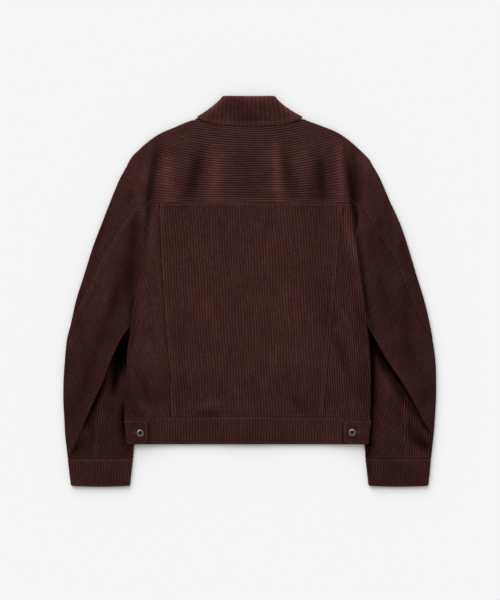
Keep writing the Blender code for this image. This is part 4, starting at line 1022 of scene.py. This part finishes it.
def front(side):
    """A front is hidden under the jacket: it is plain, and the left one laps over the right one."""
    inset = SHOULDER_ROLL + SHOULDER_RETURN + SEAM
    first = 0.055  # the share of the armhole that the yoke takes in front
    tip_out, tip_up = armhole.at(side + "_out", first) - CURVED_SEAM, armhole.at(side + "_up", first)
    neck = np.linspace(-FRONT_LAP, NECK_OUT, 31)
    slope = np.linspace(NECK_OUT + 3.0, tip_out, 32)
    top_out = np.concatenate([neck, slope])
    tip_drop = shoulder.at(side, tip_out) - tip_up
    drop = mix(inset * 1.1, tip_drop, ease((slope - NECK_OUT) / (tip_out - NECK_OUT)))
    top_up = np.concatenate([front_neck(neck), shoulder.at(side, slope) - drop])
    share = np.clip((top_out + FRONT_LAP) / (tip_out + FRONT_LAP), 0, 1) ** 2
    edge_start, edge_end = front_edge(side, tip_up), side_seam.at(side, BAND_TOP)
    rows = []
    for bound_up in np.linspace(tip_up, BODY_BOTTOM, 90):
        down = (tip_up - bound_up) / (tip_up - BODY_BOTTOM)
        bend = front_edge(side, bound_up) - mix(edge_start, edge_end, down)
        edge = edge_end - edge_start + tip_out
        bottom_out = np.where(top_out < 60.0, top_out, mix(60.0, edge, (top_out - 60.0) / (tip_out - 60.0)))
        out = mix(top_out, bottom_out, down) + bend * share
        up = mix(top_up, BODY_BOTTOM, down)
        rows.append(place(side, out, up, front_lift(side, out, up)))
    points = np.array(rows)
    if side == "right":
        points = points[:, ::-1]
    return Cloth("front_" + side, points, points[..., 0] / PITCH["front"], depth=0.3, edges=("plain",) * 4)


class FineSection(Section):
    """A section between the rows of the table, with its lengths."""

    def __init__(self, side, row):
        super().__init__(side, row)
        self.fine = np.linspace(0, 7, 1401)
        points = self.points(self.fine)
        self.length = np.append(0, np.cumsum(np.linalg.norm(np.diff(points, axis=0), axis=1)))
        self.total = self.length[-1]

    def way_of(self, share):
        inner = self.v["inner_lift"] / 2
        beyond = share * self.width - (self.width - inner)
        if beyond <= 0:
            return super().way_of(share)
        return 5.5 - math.acos(min(beyond / inner, 1.0)) / math.pi

    def length_at(self, way):
        return np.interp(way % 7, self.fine, self.length) + self.total * (way // 7)

    def way_at(self, length):
        return np.interp(length % self.total, self.length, self.fine) + 7 * (length // self.total)

    def moved(self, way, distance):
        return float(self.way_at(self.length_at(way) + distance))

    def between(self, start, end, count, weights=None):
        """Ways from start to end at even steps of length. Legs with a low weight get fewer of them."""
        ways = np.linspace(start, end, 601)
        measure = np.diff(self.length_at(ways))
        if weights is not None:
            measure = measure * np.array(weights)[((ways[1:] + ways[:-1]) / 2 % 7).astype(int)]
        measure = np.append(0, np.cumsum(measure))
        return np.interp(np.linspace(0, measure[-1], count + 1), measure, ways)

    def unrolled(self, ways):
        """The plan of points, as (out, up), where what turns down at an edge is laid out flat."""
        ways = np.asarray(ways) % 7
        length = self.length_at(ways)
        across = self.leg_across(ways)
        marks = {mark: self.length_at(mark) for mark in (2, 3, 4, 5)}
        outer, inner = self.v["outer_lift"] / 2, self.v["inner_lift"] / 2
        across = np.where(ways < 2, outer - marks[2] + length, across)
        across = np.where((ways >= 3) & (ways < 3.5), self.fold_start + length - marks[3], across)
        across = np.where((ways >= 3.5) & (ways < 4), self.fold_end - marks[4] + length, across)
        across = np.where(ways >= 5, self.width - inner + length - marks[5], across)
        return (self.outer[:, None] + (self.inner - self.outer)[:, None] * across / self.width).T

    def leg_across(self, ways):
        across = np.zeros_like(ways)
        for number in range(7):
            here = (ways >= number) & ((ways < number + 1) | (number == 6))
            across[here] = self.leg(number, ways[here] - number)[0]
        return across


# Ways that the wales of the sleeves run, as a direction across them (out, up). forearm: of the under piece
# beyond the elbow fold. hand: of the outer piece beside the inner seam. On the upper arm they are wide arcs
# round ARM_CENTRE.
WALES_ACROSS = {
    "left": {"forearm": (0.990, -0.139), "hand": (0.978, 0.208)},
    "right": {"forearm": (0.996, -0.087), "hand": (0.956, 0.292)},
}
ARM_CENTRE = (1132.0, -686.0)
UPPER_COLUMNS, FOLD_COLUMNS, FOREARM_COLUMNS = 100, 30, 62
OUTER_COLUMNS = 138
ROW_GAP = 40.0  # millimetres between the rows of a sleeve's table, more or less
FLOOR_WEIGHTS = (0.12, 1, 1, 1, 1, 1, 0.12)  # the hidden legs on the surface need few points


def sleeve(side):
    """The under piece and the outer piece of a sleeve."""
    rows = steps(0, LEFT_SLEEVE[-1][0] * ROW_GAP, 3.1) / ROW_GAP
    grids = {"under": [], "outer": []}
    for row in rows:
        section = FineSection(side, row)
        seam, inner = (section.way_of(section.v[name]) for name in ("seam_at", "inner_at"))
        first, last = section.moved(seam, SEAM / 2), section.moved(inner, -SEAM / 2)
        fold = np.concatenate([np.linspace(3, 3 + 4 / 9, 15), np.linspace(3 + 4 / 9, 3 + 5 / 9, 4)[1:],
                               np.linspace(3 + 5 / 9, 4, 14)[1:]])
        fold = np.interp(np.linspace(0, 1, FOLD_COLUMNS + 1), np.linspace(0, 1, len(fold)), fold)
        under = np.concatenate([section.between(first, 3, UPPER_COLUMNS)[:-1], fold,
                                section.between(4, last, FOREARM_COLUMNS)[1:]])
        start, end = section.moved(inner, SEAM / 2), 7 + section.moved(seam, -SEAM / 2)
        outer = section.between(start, end, OUTER_COLUMNS, FLOOR_WEIGHTS)
        for name, ways in (("under", under), ("outer", outer)):
            plan = section.unrolled(ways)
            opened = np.full(len(ways), section.v["step"])
            grids[name].append(np.column_stack([section.points(ways), plan, ways, opened]))
    return [sleeve_piece(side, name, np.array(grid), rows) for name, grid in grids.items()]


def sleeve_piece(side, name, grid, rows):
    """The under or the outer piece, with the wales of each of its regions."""
    points, plan, ways, opened = grid[..., :3], grid[..., 3:5], grid[..., 5] % 7, grid[..., 6]
    flat = {key: plan @ np.array(value) / PITCH[key] + 60 for key, value in WALES_ACROSS[side].items()}
    arm = np.hypot(plan[..., 0] - ARM_CENTRE[0], plan[..., 1] - ARM_CENTRE[1]) / PITCH["arm"]
    if name == "under":
        # Above the elbow fold the cloth is in one piece, so its wales go on there.
        lower = ease((ways - mix(3.02, 3.45, opened)) / 0.1) * ease((rows - 5.2) / 0.4)[:, None]
        wale = np.where(lower > 0.5, flat["forearm"], arm)
    else:
        lower = (ways > 3.5) * ease((rows - 5.4) / 0.4)[:, None]
        wale = np.where(lower > 0.5, flat["hand"], arm)
    shade = -0.1 - 0.45 * ease((260.0 - points[..., 1]) / 420.0) - {"left": 0.2, "right": 0.0}[side] * lower
    depth = {"left": 0.82, "right": 0.95}[side] - 0.2 * lower
    if side == "right":
        points, wale, lower, shade, depth = (v[:, ::-1] for v in (points, wale, lower, shade, depth))
    # The creases bring their painted light and shade; beyond the elbow fold that is mostly painted shadow.
    points, tone = creased(points, ARM_CREASES, where=1 - lower)
    points, more = creased(points, FOREARM_CREASES_AND_SHADOWS, where=lower)
    tone = tone + more + shade
    # The outer piece is felled over the under piece at the back seam.
    # The left back seam gets a stronger painted highlight; beside the right one the under piece lies in
    # painted shade.
    edges = ["seam"] * 3 + [{("left", "outer"): "worn", ("right", "under"): "sunk"}.get((side, name), "seam")]
    return Cloth(f"sleeve_{name}_{side}", points, wale, tone, depth=depth, edges=edges, relief=0.0)


def cuff(side):
    """A closed band, pressed flat, from its outer edge over the top and back under it."""
    rows = []
    radius = CUFF_LIFT / 2
    angle = np.linspace(0, math.pi, 15)
    upper, lower = np.linspace(0, 1, 112)[1:-1], np.linspace(0, 1, 26)[1:-1]
    for up in steps(CUFF_TOP, CUFF_BOTTOM, 4.4):
        outer, inner = cuff_ring.at(side + "_outer", up), cuff_ring.at(side + "_inner", up)
        corner = CUFF_CORNER - math.sqrt(CUFF_CORNER**2 - max(CUFF_CORNER + CUFF_BOTTOM - up, 0.0) ** 2)
        outer, inner = outer - corner, inner + corner
        out = np.concatenate([
            outer - radius + radius * np.sin(angle),
            mix(outer - radius, inner + radius, upper),
            inner + radius - radius * np.sin(angle),
            mix(inner + radius, outer - radius, lower),
        ])
        lift = np.concatenate([radius - radius * np.cos(angle), upper * 0 + CUFF_LIFT,
                               radius + radius * np.cos(angle), lower * 0])
        belly = CUFF_BELLY * (CUFF_TOP - up) / (CUFF_TOP - CUFF_BOTTOM)
        share = (out - inner) / (outer - inner)
        swell = math.sin(math.pi * (CUFF_TOP - up) / (CUFF_TOP - CUFF_BOTTOM)) * (lift / CUFF_LIFT) ** 4
        rows.append(place(side, out, up - belly * 4 * share * (1 - share), lift + swell))
    points = np.array(rows)
    if side == "right":
        points = points[:, ::-1]
    wale = steps_along(points, 1)
    around = wale[:, -1:] + np.linalg.norm(points[:, :1] - points[:, -1:], axis=-1)
    wale = wale / around * round(float(around.mean() / PITCH["cuff"]))
    # Darker all over, with the painted shade and highlight of its table on top.
    tone = {"left": -0.35, "right": -0.5}[side] + creases(CUFF_LIGHT_AND_SHADE, points)[1]
    edges = ("pressed", "free", "plain", "plain")
    return Cloth("cuff_" + side, points, wale, tone, wall=BAND_WALL, depth=0.48, edges=edges, closed=True)


BAND_FLAT = 230  # points of half the band that lie before the turn at its side


def band_half(side, up):
    """From the centre of the back round one side to the front end, as (out, lift)."""
    edge = band_edge(side, up)
    radius = (BAND_RIM - BAND_UNDER) / 2
    flat = np.linspace(0, edge - radius, BAND_FLAT)
    angle = np.linspace(0, math.pi, 13)[1:]
    under = np.interp(np.linspace(0, 1, 40), np.linspace(0, 1, len(BAND_UNDER_STEPS)), BAND_UNDER_STEPS)
    out = np.concatenate([flat, edge - radius + radius * np.sin(angle), under])
    lift = np.concatenate([
        band_lift(flat),
        (BAND_RIM + BAND_UNDER) / 2 + radius * np.cos(angle),
        band_under_lift(side, under),
    ])
    return out, lift


def band_swell(up):
    """The doubled cloth is a little thicker in the middle of the band."""
    return 0.9 * math.sin(math.pi * (BAND_TOP - up) / (BAND_TOP - BAND_BOTTOM))


def waistband():
    rows = []
    for up in steps(BAND_TOP - SEAM, BAND_BOTTOM, 4.4):
        halves = []
        for side in SIGN:
            out, lift = band_half(side, up)
            lift = lift + band_swell(up) * (np.arange(len(out)) < BAND_FLAT + 6)
            halves.append(place(side, out, up, lift))
        rows.append(np.concatenate([halves[0][:0:-1], halves[1]]))
    points = np.array(rows)
    wale = steps_along(points, 1) / PITCH["band"]
    # Beside the free end of each tab the band lies in its shadow.
    tone = -0.33 - 1.3 * sum(beside_tab(side, end_out, points) for side, end_out, *_ in TABS)
    wale = wale - wale[:, len(points[0]) // 2, None] + 90
    edges = ("free", "free", "plain", "plain")
    return Cloth("waistband", points, wale, tone, wall=BAND_WALL, depth=0.55, edges=edges)


def beside_tab(side, end_out, points):
    """1 against the free end of a tab, less above its upper edge, falling off within a few millimetres."""
    away_end = end_out - SIGN[side] * (points[..., 0] - BODY_MID)
    away_top = points[..., 1] - TAB_TOP
    beside = np.exp(-((away_end / 3.5) ** 2)) * (away_end > 0) * ease((TAB_TOP - points[..., 1]) / 8.0)
    over_top = 0.5 * np.exp(-((away_top / 2.0) ** 2)) * (away_top > 0) * ease((-away_end - 4.0) / 6.0)
    return (beside + over_top) * (points[..., 2] > 8.5)


def tab(side, end_out, corner):
    """A tab is the band's own form moved out, from its free end to the middle of the side's turn."""
    rows = []
    last = BAND_FLAT + 4
    for up in steps(TAB_TOP, TAB_BOTTOM, 2.4):
        rounding = max(corner - (TAB_TOP - up), corner - (up - TAB_BOTTOM), 0.0)
        start = end_out + corner - math.sqrt(corner**2 - rounding**2)
        out, lift = (values[:last] for values in band_half(side, up))
        length = np.append(0, np.cumsum(np.hypot(np.diff(out), np.diff(lift))))
        places = np.linspace(np.interp(start, out, length), length[-1], 48)
        line = np.stack([np.interp(places, length, values) for values in (out, lift)], axis=1)
        heading = np.gradient(line, axis=0)
        heading = heading / np.linalg.norm(heading, axis=1)[:, None]
        line = line + np.stack([-heading[:, 1], heading[:, 0]], axis=1) * (LAY + TAB_WALL)
        rows.append(place(side, line[:, 0], up, line[:, 1] + band_swell(up)))
    points = np.array(rows)
    edges = ("free", "free", "free", "plain")
    if side == "left":
        points, edges = points[:, ::-1], ("free", "free", "plain", "free")
    wale = points[..., 0] / PITCH["band"] + 60
    return Cloth("tab_" + side, points, wale, -0.4, wall=TAB_WALL, depth=0.3, edges=edges, reach=2)


def collar():
    """Its columns run up the stand, over the fold and down the fall, from the left front end to the right."""
    spans = ((0, 0.36, 90), (0.36, 0.62, 60), (0.62, 1, 40))
    turns = np.append(0, np.concatenate([np.linspace(*span)[1:] for span in spans]))
    columns = [collar_column("left", turn) for turn in turns[:0:-1]]
    columns += [collar_column("right", turn) for turn in turns]
    middle = np.array(columns).transpose(1, 0, 2)
    points = middle + grid_normals(middle) * COLLAR_WALL / 2
    # On the fall the wales run nearly upright, a little closer together towards the fold.
    closer = 1.0 + 0.14 * ease((points[..., 1] - 314.0) / 56.0)
    wale = (points[..., 0] - BODY_MID) * closer / PITCH["collar"]
    # The collar's painted highlights and shade.
    _, tone = creases(COLLAR_LIGHT_AND_SHADE, points)
    return Cloth("collar", points, wale + 60, tone, wall=COLLAR_WALL, depth=0.3, relief=0.15,
                 edges=("plain", "free", "free", "free"))


def collar_column(side, turn):
    """The middle of the collar's wall at one turn: the stand, the rolled fold and the fall."""
    seam, fold, edge, look = collar_frame(side, turn)
    half = (COLLAR_WALL + LAY + 0.1) / 2
    stand = [collar_between(side, turn, fold, seam, t) - half * look for t in np.linspace(1, 0, 8)]
    rise = np.array([0.0, 1.0, 0.0])
    angles = np.linspace(0, math.pi, 10)[1:-1]
    roll = [fold + half * (-math.cos(a) * look + math.sin(a) * rise) for a in angles]
    fall = []
    for t in np.append(np.linspace(0, 0.9, 16), [0.93, 0.955, 0.975, 0.99, 1.0]):
        swell = 0.8 * math.sin(math.pi * t) ** 2
        fall.append(collar_between(side, turn, fold, edge, t) + (half + swell) * look)
    points = np.array(stand + roll + fall)
    return place(side, points[:, 0], points[:, 1], points[:, 2])


def turned(name, profile, centre, tilt, matter, segments=64):
    """A turned part from its profile of (radius, height), from the top of its axis outward and down."""
    profile = np.array(profile)
    angle = np.linspace(0, 2 * math.pi, segments, endpoint=False)
    radius, height = profile[:, 0][:, None], profile[:, 1][:, None]
    local = np.stack([radius * np.cos(angle), radius * np.sin(angle), height + 0 * angle], axis=-1)
    x = local[..., 0] * math.cos(tilt) + local[..., 2] * math.sin(tilt)
    z = -local[..., 0] * math.sin(tilt) + local[..., 2] * math.cos(tilt)
    points = np.stack([x, local[..., 1], z], axis=-1) + centre
    return grid_object(name, points, matter, closed=True)


# Finishes.


def linear(hexed):
    """An sRGB colour as RRGGBB, as linear RGBA."""
    values = [int(hexed[i:i + 2], 16) / 255 for i in (0, 2, 4)]
    return [v / 12.92 if v <= 0.04045 else ((v + 0.055) / 1.055) ** 2.4 for v in values] + [1.0]


def add(tree, kind, inputs=(), **settings):
    """A shader node with its settings, and with inputs given as values or as other nodes' outputs."""
    made = tree.nodes.new("ShaderNode" + kind)
    for key, value in settings.items():
        setattr(made, key, value)
    for key, value in dict(inputs).items():
        if isinstance(value, bpy.types.NodeSocket):
            tree.links.new(value, made.inputs[key])
        else:
            made.inputs[key].default_value = value
    return made


def new_material(name):
    """An empty material and its node tree."""
    made = bpy.data.materials.new(name)
    made.use_nodes = True
    made.node_tree.nodes.clear()
    return made, made.node_tree


def finished(tree, **inputs):
    shader = add(tree, "BsdfPrincipled", {key.replace("_", " "): value for key, value in inputs.items()})
    add(tree, "OutputMaterial", {"Surface": shader.outputs[0]})


TONE_STEP = 2.2  # a tone of 1 makes the cloth this many times lighter
SHEEN = 0.25
GLOSS = 0.1
SPREAD = 1.6  # how much faster than red the other colours rise in lighter pile
SPREAD_BACK = (1, 14.8, 15.4)  # what puts them back at the pile's middle shade


def corduroy(name, top, groove):
    """Cut cotton pile in wales. Its colour is painted lighter on the crest of each wale and painted darker in
    the groove, as light and shade; it is nearly without gloss, and its standing fibres give a pale sheen at a
    low angle."""
    made, tree = new_material(name)
    place_of = add(tree, "TexCoord").outputs["Object"]
    wale = add(tree, "Attribute", attribute_name="wale").outputs["Fac"]
    tone = add(tree, "Attribute", attribute_name="tone").outputs["Fac"]
    depth = add(tree, "Attribute", attribute_name="depth").outputs["Fac"]
    turn = add(tree, "Math", {0: wale, 1: 2 * math.pi}, operation="MULTIPLY").outputs[0]
    wave = add(tree, "Math", {0: turn}, operation="COSINE").outputs[0]
    swing = add(tree, "Math", {0: wave, 1: depth}, operation="MULTIPLY").outputs[0]
    crest = add(tree, "Math", {0: swing, 1: -0.5, 2: 0.5}, operation="MULTIPLY_ADD").outputs[0]
    # Tufts of pile, 2 mm across: the real 0.4 mm is too fine to show.
    tufts = add(tree, "TexNoise", {"Vector": place_of, "Scale": 480.0, "Detail": 2.0}).outputs["Fac"]
    # Patches of brushed nap, some 45 mm across.
    nap = add(tree, "TexNoise", {"Vector": place_of, "Scale": 22.0, "Detail": 2.0}).outputs["Fac"]
    # Each wale is lighter or darker by turns along its length.
    number = add(tree, "Math", {0: wale}, operation="FLOOR").outputs[0]
    apart = add(tree, "CombineXYZ", {"X": number}).outputs[0]
    spot = {0: place_of, 1: (30, 30, 30), 2: apart}
    spot = add(tree, "VectorMath", spot, operation="MULTIPLY_ADD").outputs[0]
    each = add(tree, "TexNoise", {"Vector": spot, "Scale": 1.7, "Detail": 1.0}).outputs["Fac"]
    # Painted shade in the groove and painted light on the crest, over the relief of the wales.
    shades = {"Factor": crest, 6: linear(groove), 7: linear(top)}
    colour = add(tree, "Mix", shades, data_type="RGBA").outputs[2]
    for source, swing in ((tufts, 0.35), (nap, 0.13), (each, 0.13)):
        span = {"From Min": 0.25, "From Max": 0.75, "To Min": 1 - swing, "To Max": 1 + swing}
        part = add(tree, "MapRange", {"Value": source, **span}).outputs[0]
        colour = add(tree, "VectorMath", {0: colour, 3: part}, operation="SCALE").outputs[0]
    # The lighter the pile looks, the less red it is.
    colour = add(tree, "VectorMath", {0: colour, 1: (1, SPREAD, SPREAD)}, operation="POWER").outputs[0]
    colour = add(tree, "VectorMath", {0: colour, 1: SPREAD_BACK}, operation="MULTIPLY").outputs[0]
    # The painted light and shade of each point's tone.
    shade = add(tree, "Math", {0: TONE_STEP, 1: tone}, operation="POWER").outputs[0]
    colour = add(tree, "VectorMath", {0: colour, 3: shade}, operation="SCALE").outputs[0]
    relief = add(tree, "Math", {0: crest, 1: 1.5, 2: tufts}, operation="MULTIPLY_ADD").outputs[0]
    bump = add(tree, "Bump", {"Height": relief, "Strength": 0.5, "Distance": 0.0004}).outputs[0]
    # In a deep fold there is no light for the sheen and the gloss either.
    dim = add(tree, "Math", {0: shade, 1: 1.0}, operation="MINIMUM").outputs[0]
    sheen = add(tree, "Math", {0: dim, 1: SHEEN}, operation="MULTIPLY").outputs[0]
    gloss = add(tree, "Math", {0: dim, 1: GLOSS}, operation="MULTIPLY").outputs[0]
    finished(tree, Base_Color=colour, Roughness=0.9, Specular_IOR_Level=gloss, Sheen_Weight=sheen,
             Sheen_Roughness=0.45, Sheen_Tint=linear("b98d84"), Normal=bump)
    return made


def plain_material(name, colour, roughness, metallic=0.0, **more):
    made, tree = new_material(name)
    finished(tree, Base_Color=linear(colour), Roughness=roughness, Metallic=metallic, **more)
    return made


cord = corduroy("dark burgundy cotton corduroy", "4a2624", "220f0f")
# Twisted polyester: a little lighter and smoother than the pile.
thread = plain_material("burgundy polyester topstitching thread", "6a3e38", 0.8, Specular_IOR_Level=0.1)
dark = plain_material("shadow inside a buttonhole", "120b0b", 1.0, Specular_IOR_Level=0.0)
# Brass plated dark grey and tumbled: a soft metallic glint on the rim, and a dull dark middle.
gunmetal = plain_material("gunmetal finish on turned brass", "747070", 0.34, metallic=1.0)
recess = plain_material("dark metal in the button's sunk middle", "2a2626", 0.6, metallic=1.0)

# Stitches. A stitch sits STITCH_LIFT over the cloth, and sinks in at its ends.
STITCH, STITCH_PITCH, STITCH_RADIUS, STITCH_LIFT = 2.7, 3.5, 0.36, 0.35


def stitches_along(line, looks):
    """The starts, middles and ends of stitches along a line, and the normals at the middles."""
    step = np.linalg.norm(np.diff(line, axis=0), axis=1)
    length = np.append(0, np.cumsum(step))
    places = np.arange(STITCH_PITCH / 2, length[-1], STITCH_PITCH)
    spots = [(places - STITCH / 2, line), (places, line), (places + STITCH / 2, line), (places, looks)]
    return [np.array([np.interp(there, length, v) for v in values.T]).T for there, values in spots]


ROD_SIDES = 6


def rods(starts, middles, ends, looks, radius):
    """Small tapered rods in one mesh, each lying on the surface from start to end."""
    around = np.linspace(0, 2 * math.pi, ROD_SIDES, endpoint=False)
    along = ends - starts
    along /= np.maximum(np.linalg.norm(along, axis=1), 1e-6)[:, None]
    side = np.cross(along, looks)
    side /= np.maximum(np.linalg.norm(side, axis=1), 1e-6)[:, None]
    up = np.cross(side, along)
    ring = np.cos(around)[:, None, None] * side + np.sin(around)[:, None, None] * up
    first, last = (tips[None] + ring * 0.25 * radius - up * radius * 0.8 for tips in (starts, ends))
    points = np.array([first, middles[None] + ring * radius, last]).transpose(2, 0, 1, 3)
    number = np.arange(len(starts) * 3 * ROD_SIDES).reshape(-1, 3, ROD_SIDES)
    after = np.roll(number, -1, axis=2)
    faces = np.stack([number[:, :-1], after[:, :-1], after[:, 1:], number[:, 1:]], axis=-1)
    return points.reshape(-1, 3), faces.reshape(-1, 4)


def stitching(name, lines):
    """One mesh for all the stitches along lines of (points, normals)."""
    vertices, faces, count = [], [], 0
    for line, looks in lines:
        *spots, look = stitches_along(line, looks)
        # Where the cloth lies on the table, they are pressed into it.
        more, corners = rods(*(above(spot, STITCH_RADIUS) for spot in spots), look, STITCH_RADIUS)
        vertices.append(more)
        faces.append(corners + count)
        count += len(more)
    return mesh_object(name, np.concatenate(vertices), np.concatenate(faces), thread)


# The pieces.


def as_piece(made, node=None):
    """A piece of the jacket, attached to the root, with the node that it replaces hidden."""
    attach(made, "root")
    if node:
        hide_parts(node)
    return made


def sheet(piece, with_pieces=()):
    """The cloth of a piece in its finish, in place of its node. Its cut is measured but not kept; with_pieces
    is not used.
    """
    made = as_piece(piece.build(cord), piece.name)
    width, length, area = piece.flat_size()


def cut(line, low=0.0, high=1.0):
    """The part of a line of points and normals between two shares of it."""
    count = len(line[0])
    return [values[int(low * count):math.ceil(high * count)] for values in line]


def buttonhole(side, button_out, button_up):
    """The end of a buttonhole that shows outward of its button: a slit in a rim of close stitches."""
    grid = tabs[side].points
    row = grid[np.argmin(np.abs(grid[:, 0, 1] - button_up))]
    outs = SIGN[side] * (row[:, 0] - BODY_MID)
    order = np.argsort(outs)

    def over(out, up, lift):
        return place(side, out, button_up + up, np.interp(out, outs[order], row[order, 2]) + lift)

    first, last = button_out + SHANK_RADIUS, button_out + HEAD_RADIUS + HOLE_BEYOND
    along, bar = np.arange(first, last, HOLE_STEP), np.array([last + 0.4])
    # Each spot of a stitch: how far from the slit and how high it is, and the same for the bar that closes
    # the slit's end.
    starts, middles, ends = (
        np.concatenate([over(along, -near, lift), over(along, near, lift), over(bar, bar_up, bar_lift)])
        for near, lift, bar_up, bar_lift in (
            (0.4, 0.2, -2.2, 0.15),
            (1.2, 0.3, 0.0, 0.3),
            (2.2, 0.15, 2.2, 0.15),
        )
    )
    looks = np.zeros_like(starts) + (0.0, 0.0, 1.0)
    rim = mesh_object("buttonhole_stitching_" + side, *rods(starts, middles, ends, looks, 0.4), thread)
    # The slit is a dark sheet: painted shadow inside the opening.
    slit = np.stack([over(np.linspace(first, last, 9), up, 0.12) for up in (0.4, -0.4)])
    return [as_piece(rim), as_piece(grid_object("buttonhole_slit_" + side, slit, dark))]


def button(side, button_out, button_up):
    """A shank button with a rolled rim round a sunk middle, over the end of its buttonhole."""
    out, lift = (values[:BAND_FLAT] for values in band_half(side, button_up))
    slope = (np.interp(button_out + 8, out, lift) - np.interp(button_out - 8, out, lift)) / 16
    tilt = -SIGN[side] * math.atan(slope)
    foot, low = LAY, LAY + TAB_WALL + 0.6
    top = low + HEAD_RISE
    dish = [
        (0.0, top - DISH_DEPTH), (DISH_RADIUS * 0.5, top - DISH_DEPTH), (DISH_RADIUS * 0.8, top - 0.8),
        (DISH_RADIUS - 0.3, top - 0.45), (DISH_RADIUS + 0.2, top - 0.12),
    ]
    head = [
        (DISH_RADIUS + 0.2, top - 0.12), (DISH_RADIUS + 0.8, top), (HEAD_RADIUS - 2.2, top - 0.08),
        (HEAD_RADIUS - 1.2, top - 0.4), (HEAD_RADIUS - 0.5, top - 0.95), (HEAD_RADIUS - 0.1, low + 1.1),
        (HEAD_RADIUS, low + 0.8), (HEAD_RADIUS - 0.1, low + 0.4), (HEAD_RADIUS - 0.45, low),
        (SHANK_RADIUS, low), (SHANK_RADIUS, foot), (0.0, foot),
    ]
    centre = place(side, button_out, button_up, np.interp(button_out, out, lift) + BUTTON_LIFT)
    as_piece(turned("button_" + side, head, centre, tilt, gunmetal), "tab_button_" + side)
    as_piece(turned("button_recess_" + side, dish, centre, tilt, recess))


# How far from the border rows of stitches lie: along a seam, along a folded edge, and on a felled seam.
EDGE_ROW, FOLD_ROW, FELLED_ROWS = 2.2, 2.4, (2.0, 7.0)
BACK_HALF = 0.2, 0.8  # the shares of the band and of the collar between which their stitches show
OUT_OF_FOLD = 0.765  # the share of the inner seam at which it comes out from under the elbow fold
HOLE_BEYOND, HOLE_STEP = 6.0, 0.9  # how far a buttonhole goes past the head, and from stitch to stitch
BUTTON_LIFT = 1.0  # over the band's own form: the swell of the band, and a little air

center, yoke, band, fall = back_center(), back_yoke(), waistband(), collar()
side_panels = {side: back_side(side) for side in SIGN}
under, outer = {}, {}
for side in SIGN:
    under[side], outer[side] = sleeve(side)
cuffs = {side: cuff(side) for side in SIGN}
tabs = {row[0]: tab(*row[:3]) for row in TABS}

seams = {
    "yoke_stitching": [yoke.line("bottom", away) for away in (EDGE_ROW, 7.4)],
    "center_stitching": [center.line(border, away) for border in ("left", "right") for away in FELLED_ROWS],
    "band_stitching": [cut(band.line(*row), *BACK_HALF) for row in (("top", EDGE_ROW), ("bottom", FOLD_ROW))],
    "collar_stitching": [cut(fall.line("bottom", 6.0), *BACK_HALF)],
}
for side, inward in (("left", "right"), ("right", "left")):
    of_side = {
        "sleeve": [cut(under[side].line(inward, away), OUT_OF_FOLD) for away in FELLED_ROWS],
        "armhole": [outer[side].line("top", EDGE_ROW)],
        "cuff": [cuffs[side].line("top", EDGE_ROW), cuffs[side].line("bottom", FOLD_ROW)],
        "tab": [tabs[side].line(border, FOLD_ROW) for border in ("top", "bottom", inward)],
    }
    seams.update({f"{part}_stitching_{side}": lines for part, lines in of_side.items()})
stitches = {name: as_piece(stitching(name, lines)) for name, lines in seams.items()}

sheet(center, [stitches["center_stitching"]])
sheet(yoke, [stitches["yoke_stitching"]])
sheet(band, [stitches["band_stitching"]])
sheet(fall, [stitches["collar_stitching"]])
for side in SIGN:
    sheet(side_panels[side])
    sheet(front(side))
    sheet(outer[side], [stitches["armhole_stitching_" + side]])
    sheet(under[side], [stitches["sleeve_stitching_" + side]])
    sheet(cuffs[side], [stitches["cuff_stitching_" + side]])
for side, _, _, *spot in TABS:
    sheet(tabs[side], [stitches["tab_stitching_" + side], *buttonhole(side, *spot)])
for side, _, _, *spot in TABS:
    button(side, *spot)


# The studio: a pale floor, soft light from the upper left, and the camera straight above. In metres.
FLOOR_LIFT = -0.0003
KEY_STRENGTH, KEY_SPREAD, KEY_FROM = 2.27, 60, (-0.3, 0.75, 0.62)
WORLD_STRENGTH = 0.62
CAMERA_PLACE = Vector((0.0004, -0.0171, 4.0))
FRAME_LENGTH = 1.14  # of the surface, on the longer side of the picture

bpy.ops.mesh.primitive_circle_add(vertices=96, radius=12, fill_type="NGON", location=(0, 0, FLOOR_LIFT))
floor = bpy.context.object
floor.name = "studio_floor"
pale = plain_material("pale matte studio floor", "f4f4f4", 0.9, Specular_IOR_Level=0.0)
floor.data.materials.append(pale)

scene = bpy.context.scene
scene.view_settings.view_transform = "Standard"
world = bpy.data.worlds.new("soft white studio")
world.use_nodes = True
world.node_tree.nodes["Background"].inputs["Color"].default_value = linear("f6f6f6")
world.node_tree.nodes["Background"].inputs["Strength"].default_value = WORLD_STRENGTH
scene.world = world

lamp = bpy.data.objects.new("key", bpy.data.lights.new("key", "SUN"))
lamp.data.energy = KEY_STRENGTH
lamp.data.angle = math.radians(KEY_SPREAD)
lamp.rotation_mode = "QUATERNION"
lamp.rotation_quaternion = Vector(KEY_FROM).to_track_quat("Z", "Y")
scene.collection.objects.link(lamp)

camera = bpy.data.objects.new("camera", bpy.data.cameras.new("camera"))
camera.location = CAMERA_PLACE
camera.data.lens = CAMERA_PLACE.z * camera.data.sensor_width / FRAME_LENGTH
camera.data.clip_end = 60
scene.collection.objects.link(camera)
scene.camera = camera
